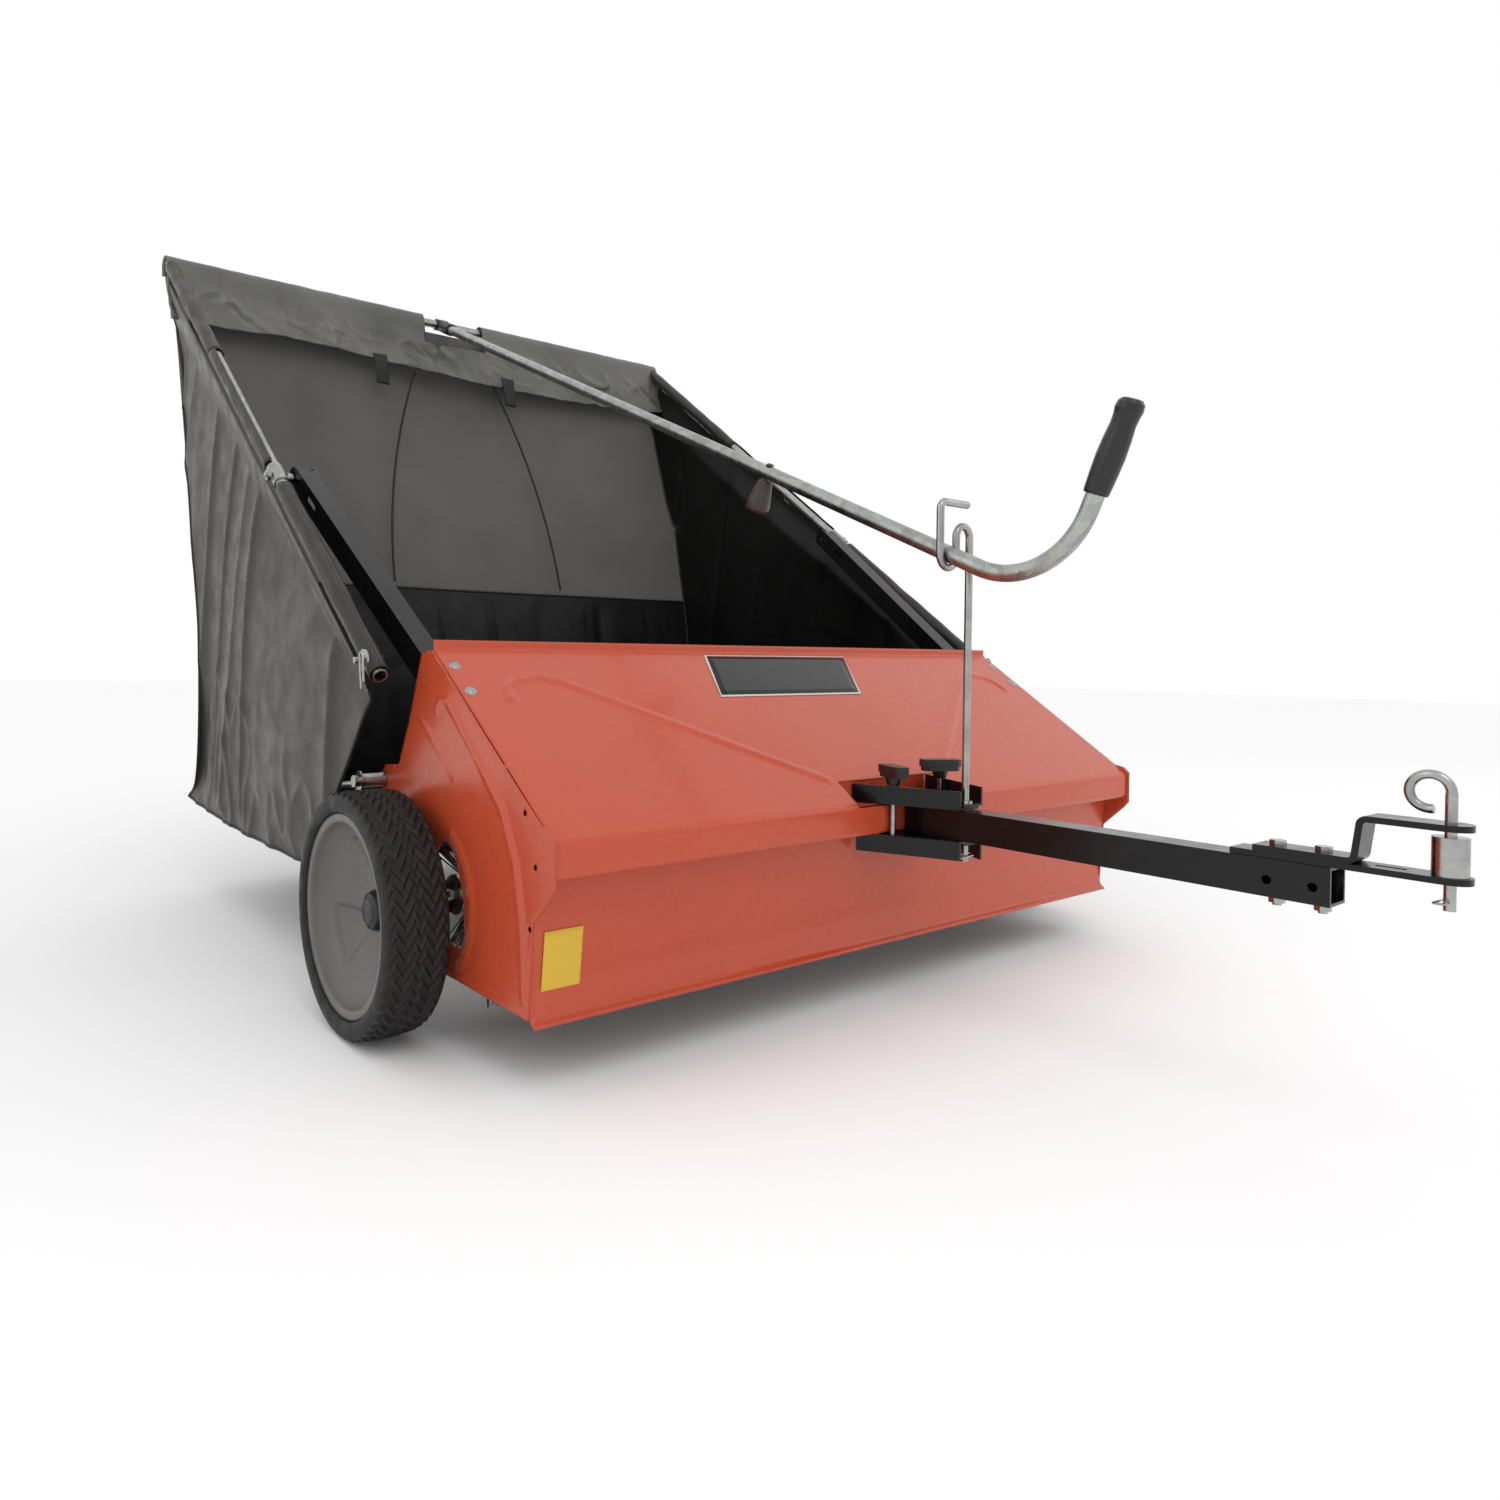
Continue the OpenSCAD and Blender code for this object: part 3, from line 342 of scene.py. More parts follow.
MATS = {
    "orange_paint": orange_paint(),
    "black_paint": black_paint(),
    "galvanised": galvanised(),
    "zinc": zinc(),
    "tyre": tyre_rubber(),
    "rim_grey": rim_grey(),
    "gear_plastic": moulded("gear plastic", (0.02, 0.02, 0.02), 0.5),
    "cap_black": moulded("cap black", (0.003, 0.003, 0.003), 0.30),
    "gear_steel": gear_steel(),
    "bristle": bristle_black(),
    "knob_black": moulded("knob black", (0.005, 0.005, 0.005), 0.42),
    "knob_brown": moulded("knob brown", (0.028, 0.017, 0.014), 0.38),
    "grip_rubber": moulded("grip rubber", (0.006, 0.0055, 0.0055), 0.32, 500, 0.0002),
    "vinyl": vinyl("hopper vinyl", (0.022, 0.0185, 0.0160), (0.032, 0.0275, 0.0245), 0.38),
    "vinyl_light": vinyl("flap vinyl", (0.058, 0.057, 0.050), (0.115, 0.113, 0.100), 0.30, 0.6),
}
NET = net()
# Darker copy of the hopper vinyl: painted shade for the inside of the bag, on the right side panel
# and the lower back
SHADED_VINYL = vinyl("vinyl with painted shade", (0.0040, 0.0038, 0.0037), (0.0070, 0.0065, 0.0062), 0.40, 0.22)
HEM = vinyl("hem tape", (0.007, 0.0065, 0.0065), (0.012, 0.011, 0.010), 0.5)

WHITE_FILM = vinyl("white film", (0.62, 0.61, 0.58), (0.68, 0.67, 0.64), 0.35)
YELLOW_FILM = vinyl("yellow film", (0.62, 0.40, 0.035), (0.66, 0.43, 0.045), 0.35)

SLOT_OF = {s["node"]: s["material_slot"] for s in frame["record"]["subparts"]}


def dress_nodes():
    for name, slot in SLOT_OF.items():
        obj = bpy.data.objects[name]
        if not obj.material_slots:
            obj.data.materials.append(MATS[slot])
        for s in obj.material_slots:
            s.material = MATS[slot]


# ---------------------------------------------------------------- wheels
TREADS = 52


def tread_height(turn, across):
    """Depth of tread at a place: turn in radians, across in metres from the tyre's middle."""
    a = abs(across)
    if a > 0.0362:
        return 0.0
    if a < 0.0014:
        return 0.0032
    zig = abs(((a / 0.0235 + 0.25) % 1.0) - 0.5) * 2
    phase = (turn * TREADS / (2 * math.pi) + zig * 1.05 + (0.5 if across > 0 else 0)) % 1.0
    return 0.0030 * smooth((0.34 - abs(phase - 0.5)) / 0.10) if phase > 0.1 else 0.0


def tyre(side):
    """Tyre with chevron tread, turned about the axle."""
    around = TREADS * 14
    half = TYRE_W / 2
    crown = []
    for k in range(49):
        a = lerp(-0.0345, 0.0345, k / 48)
        crown.append((a, WHEEL_R - 0.0022 * (abs(a) / 0.0345) ** 2.4))
    shoulder = [(0.0368, WHEEL_R - 0.0046), (0.0384, WHEEL_R - 0.0090),
                (half, WHEEL_R - 0.0150), (half - 0.0004, WHEEL_R - 0.0215),
                (half - 0.0024, RIM_R + 0.0024), (half - 0.0042, RIM_R + 0.0011)]
    inner = [(half - 0.010, RIM_R + 0.0012), (0.0020, RIM_R + 0.0012), (0.0, 0.1364),
             (-half + 0.001, 0.1364)]
    far = [(-a, r) for a, r in reversed(shoulder[:4])]
    profile = far + crown + shoulder + inner
    rows = len(profile)

    def place(u, v):
        i = min(int(round(u * rows)), rows - 1)
        a, r = profile[i]
        turn = 2 * math.pi * v
        if r > WHEEL_R - 0.006:
            r -= tread_height(turn, a)
        x = side * (TYRE_IN + half + a)
        return (x, AXLE[0] + r * math.sin(turn), AXLE[1] + r * math.cos(turn))

    verts = [Vector(place(i / rows, j / around)) for i in range(rows) for j in range(around)]
    faces = []
    for i in range(rows):
        n = (i + 1) % rows
        for j in range(around):
            k = (j + 1) % around
            face = (i * around + j, i * around + k, n * around + k, n * around + j)
            faces.append(face if side > 0 else face[::-1])
    name = "left" if side < 0 else "right"
    obj = make("tyre_tread_" + name, verts, faces, MATS["tyre"], "wheel_" + name, "tyre")
    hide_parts("tyre_" + name)
    return obj


def rim_pocket(r, turn):
    """Depth of the three pressed pockets in the dish."""
    depth = 0.0
    for k in range(3):
        a = turn - k * 2 * math.pi / 3
        a = (a + math.pi) % (2 * math.pi) - math.pi
        across, out = r * math.sin(a), r * math.cos(a)
        wide = 0.010 + (out - 0.034) * 0.62
        edge = min(out - 0.036, 0.094 - r, (wide - abs(across)) * 0.85)
        depth = max(depth, smooth(edge / 0.0075 + 0.25))
    return depth


def rim(side):
    """Dished rim with three pressed pockets about a raised middle."""
    face = [(0.0085, 0.0220), (0.0300, 0.0220), (0.0520, 0.0235), (0.0700, 0.0290),
            (0.0960, 0.0420), (0.1080, 0.0540), (0.1130, 0.0650), (0.1160, 0.0668),
            (0.1232, 0.0662)]
    rows, around = 64, 180
    front = []
    for i in range(rows):
        p = along([(r, d, 0) for r, d in face], i / (rows - 1))
        front.append((p[0], p[1]))

    def place(r, d, turn):
        x = side * (RIM_IN + d)
        return Vector((x, AXLE[0] + r * math.sin(turn), AXLE[1] + r * math.cos(turn)))

    verts, faces = [], []
    back = [(0.1232, 0.0640), (0.1150, 0.0630), (0.1110, 0.0540), (0.1010, 0.0425),
            (0.1040, 0.0330), (0.1355, 0.0330), (0.1355, 0.0295), (0.0960, 0.0295),
            (0.0960, 0.0375), (0.0880, 0.0335), (0.0700, 0.0215), (0.0540, 0.0160),
            (0.0260, 0.0150), (0.0200, 0.0140), (0.0200, 0.0020), (0.0085, 0.0020)]
    total = rows + len(back)
    for r, d in front + back:
        for j in range(around):
            turn = 2 * math.pi * j / around
            shift = -0.0045 * rim_pocket(r, turn) if len(verts) < rows * around else 0.0
            verts.append(place(r, d + shift, turn))
    for i in range(total):
        n = (i + 1) % total
        for j in range(around):
            k = (j + 1) % around
            q = (i * around + j, i * around + k, n * around + k, n * around + j)
            faces.append(q[::-1] if side > 0 else q)
    name = "left" if side < 0 else "right"
    obj = make("rim_dish_" + name, verts, faces, MATS["rim_grey"], "wheel_" + name, "rim_grey")
    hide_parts("wheel_rim_" + name)
    return obj


def bristles():
    """Six rows of stiff filaments in tufts."""
    rng = random.Random(7)
    verts, faces = [], []
    tufts, hairs = 150, 7
    for row in range(6):
        base = math.radians(row * 60 + 15)
        for t in range(tufts):
            x0 = lerp(-BRUSH_HALF + 0.004, BRUSH_HALF - 0.004, t / (tufts - 1))
            for _ in range(hairs):
                a = base + rng.uniform(-0.05, 0.05)
                x1 = x0 + rng.uniform(-0.008, 0.008)
                tip = BRISTLE_R - rng.uniform(0.0, 0.008)
                spread = rng.uniform(-0.03, 0.03)
                start = len(verts)
                for r, w, ang in ((CORE_R - 0.001, 0.0011, a), (0.085, 0.0010, a + spread * 0.4),
                                  (tip, 0.0007, a + spread)):
                    cx = lerp(x0, x1, (r - CORE_R) / (tip - CORE_R))
                    for k in range(3):
                        b = k * 2 * math.pi / 3
                        off = w * math.cos(b) / r
                        verts.append((cx + w * math.sin(b), BRUSH[0] + r * math.cos(ang + off),
                                      BRUSH[1] + r * math.sin(ang + off)))
                for level in (0, 3):
                    for k in range(3):
                        m = (k + 1) % 3
                        faces.append((start + level + k, start + level + m,
                                      start + level + 3 + m, start + level + 3 + k))
                faces.append((start + 6, start + 7, start + 8))
                faces.append((start + 2, start + 1, start))
    obj = make("bristle_tufts", verts, faces, MATS["bristle"], "brush", "bristle")
    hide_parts("brush_bristles")
    return obj


# ---------------------------------------------------------------- pressed orange housing
PLATE = [(-0.010, 0.466), (-0.018, 0.472), (-0.044, 0.473), (-0.174, 0.3805), (-0.256, 0.3228),
         (-0.300, 0.293), (-0.316, 0.290), (-0.326, 0.281), (-0.326, 0.232), (-0.318, 0.222),
         (-0.283, 0.188), (-0.277, 0.084), (0.118, 0.084), (0.128, 0.096), (0.128, 0.190),
         (0.0905, 0.2552), (0.100, 0.276), (0.116, 0.300), (0.096, 0.319), (0.0535, 0.3235),
         (0.023, 0.383)]
ARCH = [(-0.056, 0.402), (-0.066, 0.412), (-0.083, 0.414), (-0.166, 0.345), (-0.217, 0.299),
        (-0.246, 0.246), (-0.262, 0.178), (-0.268, 0.105)]
LINE = [(-0.009, 0.390), (-0.098, 0.324)]
WELL = ((-0.060, 0.170), 0.092)
SIDE_X = 0.577
SLOT_R, SLOT_HALF = math.hypot(BRUSH[0], BRUSH[1] - AXLE[1]) + 0.009, 0.022
SLOT_ANGLES = (183.0, 140.0)
POCKET_X = 0.105
TIE_HOLE = ((0.098, 0.299), 0.0099)
COVER_TOP = (-0.042, 0.4745)
NOSE = (-0.321, 0.278)
PANEL_BEAD = [(0.515, 0.084), (0.508, 0.066), (0.490, 0.054), (0.455, 0.049), (0.426, 0.057),
              (0.269, 0.150), (0.122, 0.236)]
EAR_HOLES = [(-0.287, 0.248), (-0.265, 0.302), (-0.2775, 0.181)]


def arc_points(centre, radius, a0, a1, count):
    return [(centre[0] + radius * math.cos(math.radians(lerp(a0, a1, i / count))),
             centre[1] + radius * math.sin(math.radians(lerp(a0, a1, i / count))))
            for i in range(count + 1)]


def off_line(p, line):
    """Distance of a 2D point from a broken line."""
    best = 9.0
    q = Vector(p)
    for a, b in zip(line, line[1:]):
        a, b = Vector(a), Vector(b)
        t = min(max((q - a).dot(b - a) / (b - a).length_squared, 0.0), 1.0)
        best = min(best, (q - a - (b - a) * t).length)
    return best


def inside(p, loop):
    hit = False
    for (x0, y0), (x1, y1) in zip(loop, loop[1:] + loop[:1]):
        if (y0 > p[1]) != (y1 > p[1]) and p[0] < (x1 - x0) * (p[1] - y0) / (y1 - y0) + x0:
            hit = not hit
    return hit


def dense(loop, step):
    pts = []
    for a, b in zip(loop, loop[1:] + loop[:1]):
        count = max(1, int(math.dist(a, b) / step))
        pts += [(lerp(a[0], b[0], i / count), lerp(a[1], b[1], i / count)) for i in range(count)]
    return pts


def brush_slot():
    lo, hi = SLOT_ANGLES
    r = SLOT_R
    c0 = (AXLE[0] + r * math.cos(math.radians(lo)), AXLE[1] + r * math.sin(math.radians(lo)))
    c1 = (AXLE[0] + r * math.cos(math.radians(hi)), AXLE[1] + r * math.sin(math.radians(hi)))
    return (arc_points(AXLE, r + SLOT_HALF, lo, hi, 14)[:-1]
            + arc_points(c1, SLOT_HALF, hi, hi - 180, 12)[:-1]
            + arc_points(AXLE, r - SLOT_HALF, hi, lo, 14)[:-1]
            + arc_points(c0, SLOT_HALF, lo + 180, lo, 12)[:-1])


def side_plate(side):
    """Pressed side plate: soft beads and the holes of the CAD plate."""
    outline = dense(PLATE, 0.004)
    holes = [brush_slot(), arc_points(AXLE, 0.0081, 0, 360, 24)[:-1]]
    holes.append(arc_points(*TIE_HOLE, 0, 360, 32)[:-1])
    holes += [arc_points(c, 0.0035, 0, 360, 12)[:-1] for c in EAR_HOLES]
    pts, lines = [], []
    for loop in [outline] + holes:
        start = len(pts)
        pts += loop
        lines += [(start + i, start + (i + 1) % len(loop)) for i in range(len(loop))]
    step = 0.0045
    y = -0.33
    row = 0
    while y < 0.13:
        z = 0.08 + (row % 2) * step / 2
        while z < 0.48:
            if inside((y, z), outline) and not any(inside((y, z), h) for h in holes):
                if off_line((y, z), outline + outline[:1]) > step * 0.5:
                    pts.append((y, z))
            z += step
        y += step * 0.87
        row += 1
    out = geometry.delaunay_2d_cdt([Vector(p) for p in pts], lines, [], 0, 1e-6)
    verts2, faces2 = out[0], out[2]
    ring = arc_points(WELL[0], WELL[1], 115, 228, 24)
    faces = []
    for f in faces2:
        c = sum((verts2[i] for i in f), Vector((0, 0))) / len(f)
        if inside(c, outline) and not any(inside(c, h) for h in holes):
            faces.append(tuple(f))
    verts = []
    for v in verts2:
        rise = 0.0030 * smooth(1 - off_line(v, ARCH) / 0.0085)
        rise = max(rise, 0.0016 * smooth(1 - off_line(v, LINE) / 0.0055))
        rise = max(rise, 0.0030 * smooth(1 - off_line(v, ring) / 0.0085))
        verts.append((side * (SIDE_X + rise), v[0], v[1]))
    if side < 0:
        faces = [f[::-1] for f in faces]
    name = "left" if side < 0 else "right"
    obj = make("pressed_plate_" + name, verts, faces, MATS["orange_paint"], "housing",
               "orange_paint")
    mod = obj.modifiers.new("sheet", "SOLIDIFY")
    mod.thickness = 0.0012
    mod.offset = -1
    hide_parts("side_plate_" + name)
    return obj


def cover_profile():
    """Points down the cover's cross-section, with small rounded bends."""
    corners = [(-0.042, 0.4865), COVER_TOP, NOSE, (-0.321, 0.240), (-0.286, 0.240),
               (-0.274, 0.118), (-0.278, 0.084), (-0.287, 0.077)]
    pts = [Vector(corners[0])]
    for a, b, c in zip(corners, corners[1:], corners[2:]):
        a, b, c = Vector(a), Vector(b), Vector(c)
        cut = min(0.005, (b - a).length * 0.3, (c - b).length * 0.3)
        p, q = b + (a - b).normalized() * cut, b + (c - b).normalized() * cut
        for i in range(7):
            t = i / 6
            pts.append(p * (1 - t) ** 2 + b * 2 * t * (1 - t) + q * t * t)
    pts.append(Vector(corners[-1]))
    fine = [pts[0]]
    for a, b in zip(pts, pts[1:]):
        count = max(1, int((b - a).length / 0.0035))
        fine += [a.lerp(b, (i + 1) / count) for i in range(count)]
    return fine


def front_cover():
    """Cover bent from one sheet, with two soft pressed beads and the hitch pocket."""
    profile = cover_profile()
    fall = Vector((COVER_TOP[0] - NOSE[0], COVER_TOP[1] - NOSE[1]))
    length = fall.length
    normal = Vector((-fall.y, fall.x)).normalized()
    count = 330
    half = SIDE_X - 0.0013
    verts, faces = [], []
    for i, p in enumerate(profile):
        for j in range(count):
            x = lerp(-half, half, j / (count - 1))
            q = p.copy()
            if NOSE[1] + 0.004 < p.y < COVER_TOP[1] - 0.004:
                along_x = abs(x)
                down = (COVER_TOP[0] - p.x) * length / fall.x
                bead = [(a, d * length / fall.x) for a, d in PANEL_BEAD]
                q += normal * 0.0032 * smooth(1 - off_line((along_x, down), bead) / 0.0095)
            verts.append((x, q.x, q.y))
    pocket = POCKET_X
    for i in range(len(profile) - 1):
        for j in range(count - 1):
            x = lerp(-half, half, (j + 0.5) / (count - 1))
            y = (profile[i].x + profile[i + 1].x) / 2
            if abs(x) < pocket and y < NOSE[0] + 0.038 and profile[i].y > NOSE[1] - 0.001:
                continue
            faces.append((i * count + j, i * count + j + 1, (i + 1) * count + j + 1,
                          (i + 1) * count + j))
    walls = []
    y0, z0 = NOSE
    walls.append(([(-pocket, y0, z0), (pocket, y0, z0), (pocket, y0 + 0.039, z0),
                   (-pocket, y0 + 0.039, z0)], [(0, 1, 2, 3)]))
    walls.append(([(-pocket, y0 + 0.039, z0), (pocket, y0 + 0.039, z0),
                   (pocket, y0 + 0.039, z0 + 0.0275), (-pocket, y0 + 0.039, z0 + 0.0275)],
                  [(0, 1, 2, 3)]))
    for x in (-pocket, pocket):
        walls.append(([(x, y0, z0), (x, y0 + 0.039, z0), (x, y0 + 0.039, z0 + 0.0275)],
                      [(0, 1, 2)]))
    obj = make("pressed_cover", verts, faces, MATS["orange_paint"], "housing", "orange_paint")
    mod = obj.modifiers.new("sheet", "SOLIDIFY")
    mod.thickness = 0.0012
    mod.offset = -1
    inner = make("cover_pocket", *joined(*walls), MATS["orange_paint"], "housing",
                 "orange_paint", shade=False)
    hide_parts("front_cover")
    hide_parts("front_cover")
    return obj


BADGE_TOP, BADGE_LOW = -0.049, -0.131          # y of the badge's edges
BADGE_X = (-0.140, 0.168, 0.118, -0.178)       # x of its corners, from the top left round


def cover_z(y):
    slope = (COVER_TOP[1] - NOSE[1]) / (COVER_TOP[0] - NOSE[0])
    return COVER_TOP[1] + (y - COVER_TOP[0]) * slope


def sticker(name, corners, lift, material, slot):
    """Thin blank sticker between four corners, standing a little off the sheet below it."""
    a, b, c, d = (Vector(p) + Vector(lift) for p in corners)

    def place(u, v):
        return (a * (1 - u) + b * u) * (1 - v) + (d * (1 - u) + c * u) * v

    obj = make(name, *grid(24, 10, place), material, "housing", slot)
    mod = obj.modifiers.new("film", "SOLIDIFY")
    mod.thickness = 0.0003
    return obj


def stickers():
    """Blank stand-ins for the badge and the label, with no lettering or symbols."""
    up = (0, -0.0012, 0.0018)

    def badge(grow):
        top, low = BADGE_TOP + grow, BADGE_LOW - grow
        return [(BADGE_X[0] - grow, top, cover_z(top)), (BADGE_X[1] + grow, top, cover_z(top)),
                (BADGE_X[2] + grow, low, cover_z(low)), (BADGE_X[3] - grow, low, cover_z(low))]

    sticker("badge_rim", badge(0.0), up, WHITE_FILM, "vinyl_light")
    sticker("badge_face", badge(-0.003), (0, -0.0016, 0.0024), MATS["black_paint"], "black_paint")
    label = [(-0.561, -0.2800, 0.177), (-0.511, -0.2800, 0.177), (-0.511, -0.2727, 0.102),
             (-0.561, -0.2727, 0.102)]
    sticker("label_film", label, (0, -0.0022, 0), YELLOW_FILM, "vinyl_light")


# ---------------------------------------------------------------- hopper fabric
FRONT_EDGE = [(0.004, 0.436), (0.080, 0.350), (0.151, 0.268), (0.226, 0.163)]
BACK_EDGE = [(1.084, 1.246), (1.078, 1.165), (1.042, 1.066), (0.985, 0.888), (0.934, 0.761),
             (0.883, 0.563), (0.863, 0.373), (0.879, 0.222), (0.935, 0.177)]
FLOOR_EDGE = [(0.226, 0.163), (0.400, 0.161), (0.600, 0.161), (0.780, 0.168), (0.935, 0.177)]
SIDE_IN = 0.622
SLEEVE_R = TUBE_R + 0.0030


def edge(points, t):
    return along([(y, z, 0) for y, z in points], t)


def side_yz(u, v):
    """Place on a side panel: u from the front edge to the back, v from the tube down."""
    top = Vector((lerp(0.004, 1.084, u), tube_z(lerp(0.004, 1.084, u)) - 0.010, 0))
    low = edge(FLOOR_EDGE, u)
    front, back = edge(FRONT_EDGE, v), edge(BACK_EDGE, v)
    corner = [Vector((0.004, tube_z(0.004) - 0.010, 0)), Vector((1.084, tube_z(1.084) - 0.010, 0)),
              edge(FLOOR_EDGE, 0), edge(FLOOR_EDGE, 1)]
    flat = (corner[0] * (1 - u) * (1 - v) + corner[1] * u * (1 - v)
            + corner[2] * (1 - u) * v + corner[3] * u * v)
    return top * (1 - v) + low * v + front * (1 - u) + back * u - flat


def side_out(u, v, y, z, side):
    """How far a side panel stands from the middle plane: smooth, with a few long soft folds."""
    x = SIDE_IN
    x += (TUBE_X + SLEEVE_R - 0.003 - SIDE_IN) * (1 - smooth(v / 0.11))
    belly = math.sin(math.pi * u) * math.sin(math.pi * min(v * 1.1, 1.0))
    x += 0.010 * belly
    hang = smooth(v / 0.2) * smooth((1 - v) / 0.10)
    wide = noise.noise(Vector((y * 5.0 + 0.6 * z + 3.1 * side, 0.4, z * 1.1)))
    x += 0.016 * wide * hang
    narrow = folds((y + 0.18 * z, side, z), (7.0, 3.0, 0.9), 2.3 * side)
    x += 0.007 * narrow ** 3 * hang
    low = smooth((v - 0.55) / 0.3) * smooth((1 - u) / 0.1)
    fine = folds((y, side * 2, z + 0.2 * y), (13.0, 3.0, 6.0), 8.7)
    x += 0.0045 * fine ** 3 * low
    return x


def bag_side(side):
    name = "left" if side < 0 else "right"

    def place(u, v):
        p = side_yz(u, v)
        return (side * side_out(u, v, p[0], p[1], side), p[0], p[1])

    verts, faces = grid(170, 140, place)
    if side > 0:
        faces = [f[::-1] for f in faces]
    # The right panel is seen from inside and takes the darker vinyl: painted shade
    cloth = MATS["vinyl"] if side < 0 else SHADED_VINYL
    obj = make("bag_side_" + name, verts, faces, cloth, "hopper", "vinyl")
    return thicken(obj, 0.0012)


def back_place(u, v):
    """Back panel: u across from left to right, v from the cross tube down."""
    p = edge(BACK_EDGE, v)
    across = lerp(-1, 1, u)
    y, z = p[0], p[1]
    bulge = (1 - across ** 4)
    y += 0.014 * bulge * smooth(v / 0.3) * smooth((1 - v) / 0.2)
    x = across * (SIDE_IN + 0.004)
    wave = noise.noise(Vector((x * 4.2 + 5.2, z * 0.5, 0.3 * x)))
    y += 0.016 * wave * bulge * smooth(v / 0.08)
    if z < SEAM_Z:
        low = smooth((SEAM_Z - z) / 0.06)
        y += 0.007 * low * (folds((x, z, z), (7.0, 1.0, 1.0), 2.2) ** 2 - 0.4) * bulge
        y += 0.002 * low * folds((x, z, z), (18.0, 1.0, 4.0), 6.0) ** 3
    return Vector((x, y, z))


def back_split():
    """v at which the back changes from net to vinyl."""
    v = 0.0
    while edge(BACK_EDGE, v)[1] > SEAM_Z:
        v += 0.002
    return v


def bag_back():
    cut = back_split()
    verts, faces = grid(150, 110, lambda u, v: back_place(u, v * cut))
    upper = make("bag_back_net", verts, faces, NET, "hopper", "vinyl")
    verts, faces = grid(170, 90, lambda u, v: back_place(u, cut + v * (1 - cut)))
    # The lower back is seen from inside and takes the darker vinyl: painted shade
    lower = make("bag_back_vinyl", verts, faces, SHADED_VINYL, "hopper", "vinyl")
    return thicken(upper, 0.0008), thicken(lower, 0.0012)


def bag_floor():
    def place(u, v):
        p = edge(FLOOR_EDGE, v) if v > 0 else edge(FLOOR_EDGE, 0)
        x = lerp(-SIDE_IN, SIDE_IN, u)
        sag = 0.006 * (1 - (2 * u - 1) ** 2) * math.sin(math.pi * v)
        wrinkle = 0.003 * folds((x, p[0], 0), (4.0, 5.0, 1.0), 4.0) * math.sin(math.pi * v)
        return (x, p[0], p[1] - sag + wrinkle)

    verts, faces = grid(90, 70, place)
    floor = make("bag_floor", verts, [f[::-1] for f in faces], MATS["vinyl"], "hopper", "vinyl")

    def lip(u, v):
        p = along([(0.151, 0.268, 0), (0.186, 0.216, 0), (0.226, 0.163, 0)], v)
        x = lerp(-SIDE_IN, SIDE_IN, u)
        return (x, p[0] + 0.004 * folds((x, v, 0), (12.0, 2.0, 1.0), 9.0) * v, p[1])

    verts, faces = grid(90, 14, lip)
    front = make("bag_front_lip", verts, faces, MATS["vinyl"], "hopper", "vinyl")
    return thicken(floor, 0.0012), thicken(front, 0.0012)


FLAP_HALF = 0.646
FLAP = [(1.103, 1.249), (1.103, 1.274), (1.088, 1.285), (1.072, 1.281), (1.062, 1.262),
        (1.058, 1.232), (1.050, 1.190), (1.028, 1.136)]


def flap():
    """Wide flap folded over the rear cross tube, hanging inside the back."""
    def place(u, v):
        x = lerp(-FLAP_HALF, FLAP_HALF, u)
        p = edge(FLAP, v)
        hang = smooth((v - 0.42) / 0.3)
        drop = 0.012 * math.sin(x * 5.2 + 0.6) + 0.012 * noise.noise(Vector((x * 3, 2.0, 0)))
        y, z = p[0], p[1] - drop * hang * smooth((v - 0.6) / 0.4)
        crisp = folds((x, 0.2, z + 0.4 * x), (7.0, 1.0, 14.0), 7.0)
        y -= hang * (0.010 * crisp ** 2 + 0.005 * folds((x, 0, z), (22.0, 1.0, 16.0), 2.0) ** 2)
        z += 0.0014 * noise.noise(Vector((x * 26, y * 26, 3.0)))
        return (x, y, z)

    def keep(u, v):
        x = lerp(-FLAP_HALF, FLAP_HALF, u)
        return not (SLEEVE_GAP[0] < x < SLEEVE_GAP[1] and v < 0.62)

    verts, faces = grid(240, 60, place, keep=keep)
    obj = make("hopper_flap", verts, faces, MATS["vinyl_light"], "hopper", "vinyl_light")
    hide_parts("bag_flap")
    return thicken(obj, 0.0012)


def strap_tabs():
    """Two short straps that hang below the flap."""
    pairs = []
    for x0 in (-0.215, 0.120):
        def place(u, v, x0=x0):
            p = along([(1.020, 1.150, 0), (1.012, 1.120, 0), (1.003, 1.080, 0)], v)
            return (x0 + 0.032 * u + 0.004 * v, p[0] - 0.004 * math.sin(3 * v + u), p[1])
        pairs.append(grid(6, 14, place))
    obj = make("flap_straps", *joined(*pairs), HEM, "hopper", "vinyl")
    return thicken(obj, 0.002)


def sleeve(side, y0, y1, tag, a0=0.0, a1=360.0):
    """Fabric round a side tube between two places along it, from one angle to another."""
    lean = math.atan2(TUBE_HIGH[1] - TUBE_LOW[1], TUBE_HIGH[0] - TUBE_LOW[0])
    rows = max(8, int((y1 - y0) / 0.008))

    def place(u, v):
        y = lerp(y0, y1, u)
        a = math.radians(lerp(a0, a1, v))
        r = SLEEVE_R + 0.0016 * noise.noise(Vector((side * 3, y * 22, 2 * math.cos(a))))
        out, up = r * math.sin(a), r * math.cos(a)
        return (side * (TUBE_X + out), y - up * math.sin(lean), tube_z(y) + up * math.cos(lean))

    verts, faces = grid(rows, 24, place)
    if side > 0:
        faces = [f[::-1] for f in faces]
    name = "tube_sleeve_%s_%s" % (tag, "left" if side < 0 else "right")
    obj = make(name, verts, faces, MATS["vinyl"], "hopper", "vinyl")
    return thicken(obj, 0.0012)


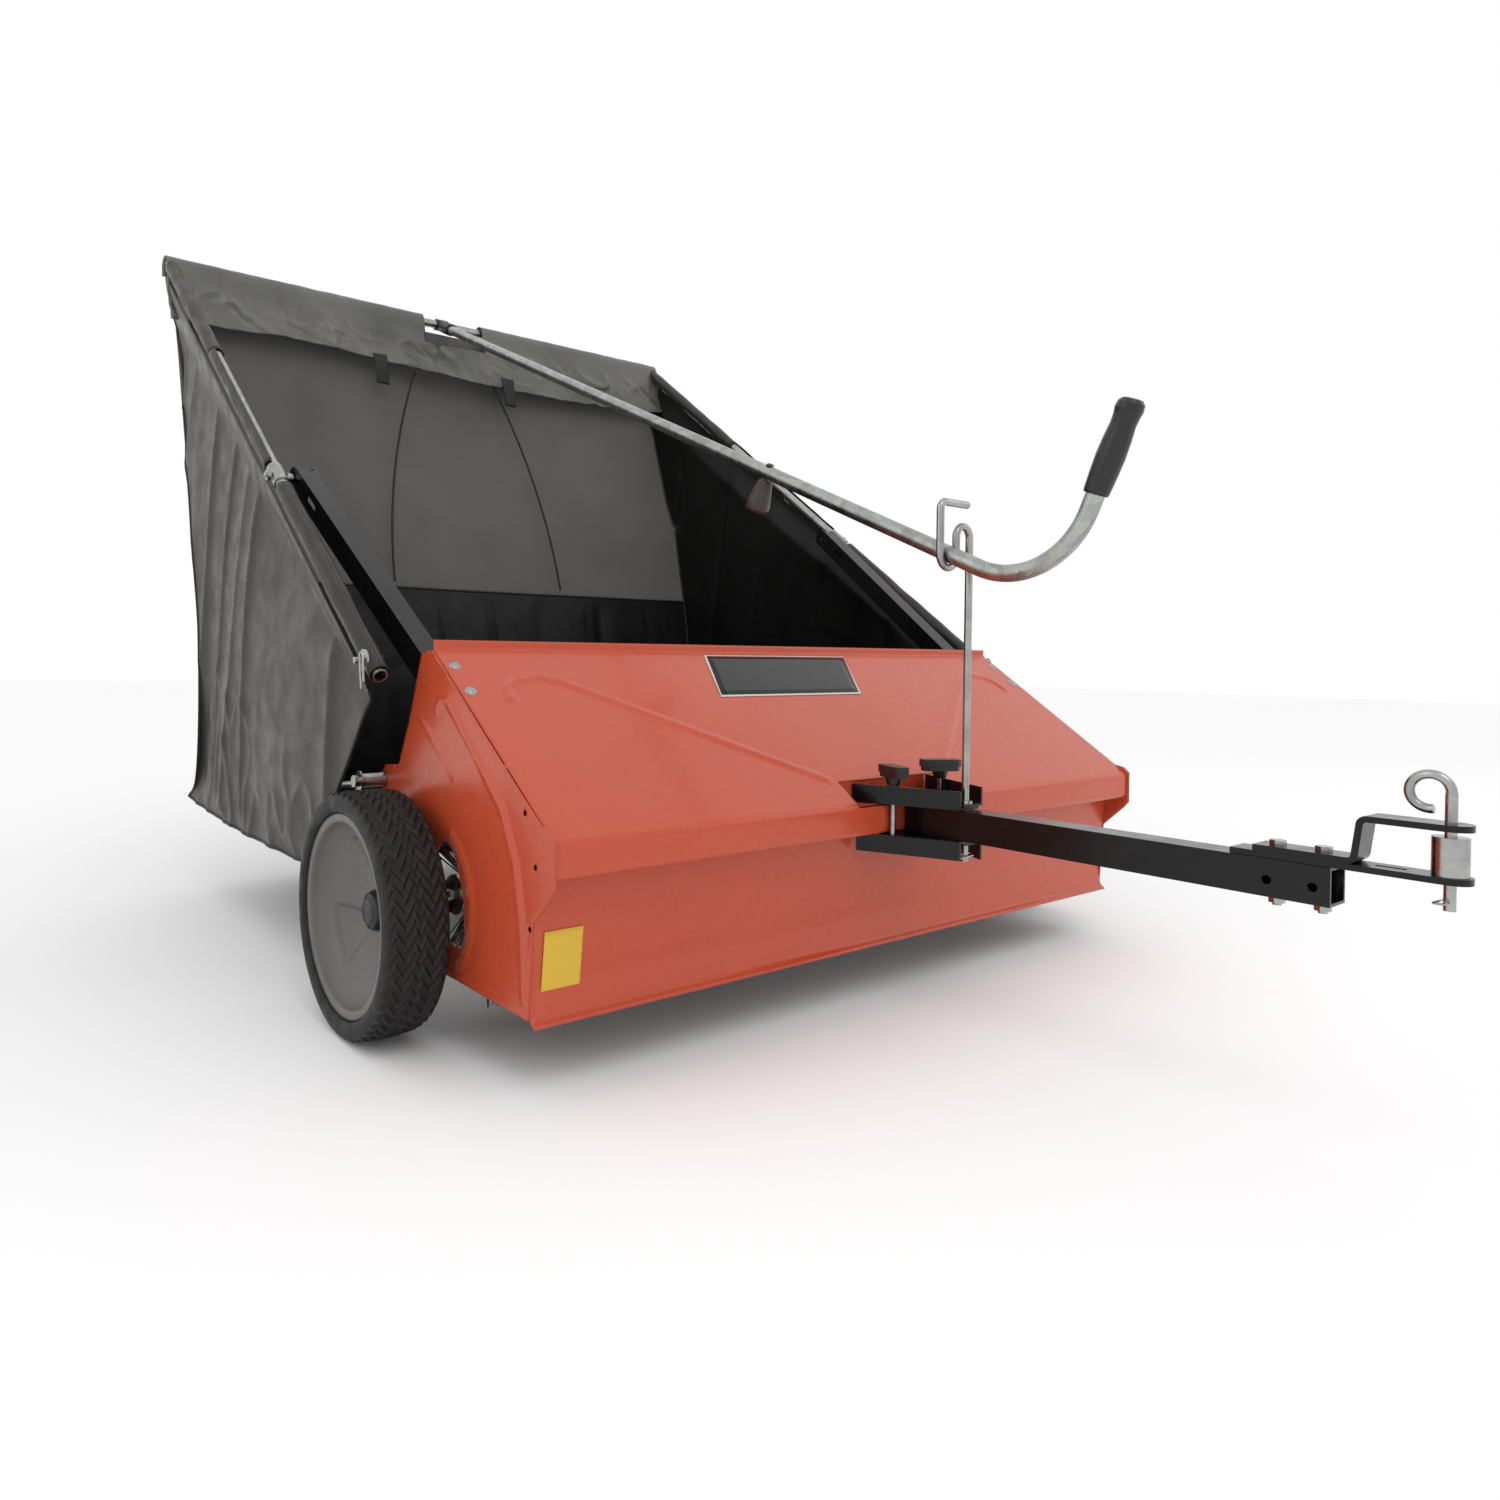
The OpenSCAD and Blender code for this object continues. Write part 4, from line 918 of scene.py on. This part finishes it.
def piping():
    """Corded hems along the bag's seams."""
    pairs = []
    for side in (-1, 1):
        for u0, v0, u1, v1 in ((1, 0.06, 1, 1), (0, 1, 1, 1), (0, 0.06, 0, 1)):
            pts = []
            for i in range(61):
                u, v = lerp(u0, u1, i / 60), lerp(v0, v1, i / 60)
                p = side_yz(u, v)
                pts.append((side * side_out(u, v, p[0], p[1], side), p[0], p[1]))
            pairs.append(sweep(pts, 0.0028, 8, 0.0004, side))
    for y, z in (BACK_EDGE[-1], FRONT_EDGE[2]):
        pts = [(lerp(-SIDE_IN, SIDE_IN, i / 40), y, z) for i in range(41)]
        pairs.append(sweep(pts, 0.0030, 8, 0.0006, 4))
    pts = [back_place(i / 60, back_split()) for i in range(61)]
    pairs.append(sweep(pts, 0.0024, 6, 0.0004, 5))
    return make("bag_piping", *joined(*pairs), HEM, "hopper", "vinyl")


def hopper():
    pieces = [bag_side(-1), bag_side(1), *bag_back(), *bag_floor(), piping()]
    for side in (-1, 1):
        pieces.append(sleeve(side, 0.728, 1.070, "rear"))
        pieces.append(sleeve(side, 0.400, 0.728, "middle", 20, 190))
        pieces.append(sleeve(side, -0.014, 0.346, "front"))
    for piece in pieces:
        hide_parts("hopper_bag")
    flap()
    strap_tabs()


# ---------------------------------------------------------------- camera, floor and light
CAMERA_PLACE = (-1.13545, -1.18396, 0.4738)
CAMERA_TURN = (36.662, -0.52, 0.736)            # yaw, pitch and roll, in degrees
CAMERA_LENS = 24.297
CAMERA_SHIFT = (0.0855, -0.0590)


def camera():
    """The photograph's viewpoint: front left, just above the hitch."""
    yaw, pitch, roll = (math.radians(a) for a in CAMERA_TURN)
    ahead = Vector((math.sin(yaw) * math.cos(pitch), math.cos(yaw) * math.cos(pitch),
                    math.sin(pitch)))
    level = ahead.cross(Vector((0, 0, 1))).normalized()
    over = level.cross(ahead)
    right = level * math.cos(roll) + over * math.sin(roll)
    up = over * math.cos(roll) - level * math.sin(roll)
    data = bpy.data.cameras.new("camera")
    data.sensor_width = 36
    data.lens = CAMERA_LENS
    data.shift_x, data.shift_y = CAMERA_SHIFT
    data.clip_start = 0.02
    obj = bpy.data.objects.new("camera", data)
    bpy.context.scene.collection.objects.link(obj)
    turn = Matrix((right, up, -ahead)).transposed()
    obj.matrix_world = Matrix.Translation(CAMERA_PLACE) @ turn.to_4x4()
    bpy.context.scene.camera = obj
    bpy.context.scene.view_settings.view_transform = "Standard"


def area(name, place, target, size, power, tone=(1, 1, 1)):
    data = bpy.data.lights.new(name, "AREA")
    data.shape = "RECTANGLE"
    data.size, data.size_y = size
    data.energy = power
    data.color = tone
    obj = bpy.data.objects.new(name, data)
    bpy.context.scene.collection.objects.link(obj)
    way = (Vector(target) - Vector(place)).to_track_quat("-Z", "Y")
    obj.matrix_world = Matrix.Translation(place) @ way.to_matrix().to_4x4()


def studio():
    mesh = bpy.data.meshes.new("floor")
    half = 14.0
    mesh.from_pydata([(-half, -half, 0), (half, -half, 0), (half, half, 0), (-half, half, 0)],
                     [], [(0, 1, 2, 3)])
    floor = bpy.data.objects.new("floor", mesh)
    bpy.context.scene.collection.objects.link(floor)
    look = Look("floor white", (0.94, 0.94, 0.94), 0.8)
    look.tint(look.noise(0.4, 2), (0.95, 0.95, 0.95))
    mesh.materials.append(look.mat)
    world = bpy.data.worlds.new("studio")
    world.use_nodes = True
    world.node_tree.nodes["Background"].inputs["Color"].default_value = (1, 1, 1, 1)
    world.node_tree.nodes["Background"].inputs["Strength"].default_value = 1.0
    bpy.context.scene.world = world
    area("key", (-1.2, -2.6, 3.6), (0, 0.1, 0.4), (2.4, 1.8), 22)
    area("side", (-3.4, 0.6, 2.0), (0, 0.4, 0.6), (1.2, 2.2), 9)
    area("fill", (3.2, -2.0, 2.2), (0, 0.2, 0.5), (1.8, 1.8), 6)


dress_nodes()
for side in (-1, 1):
    tyre(side)
    rim(side)
    side_plate(side)
front_cover()
stickers()
bristles()
hopper()
studio()
camera()
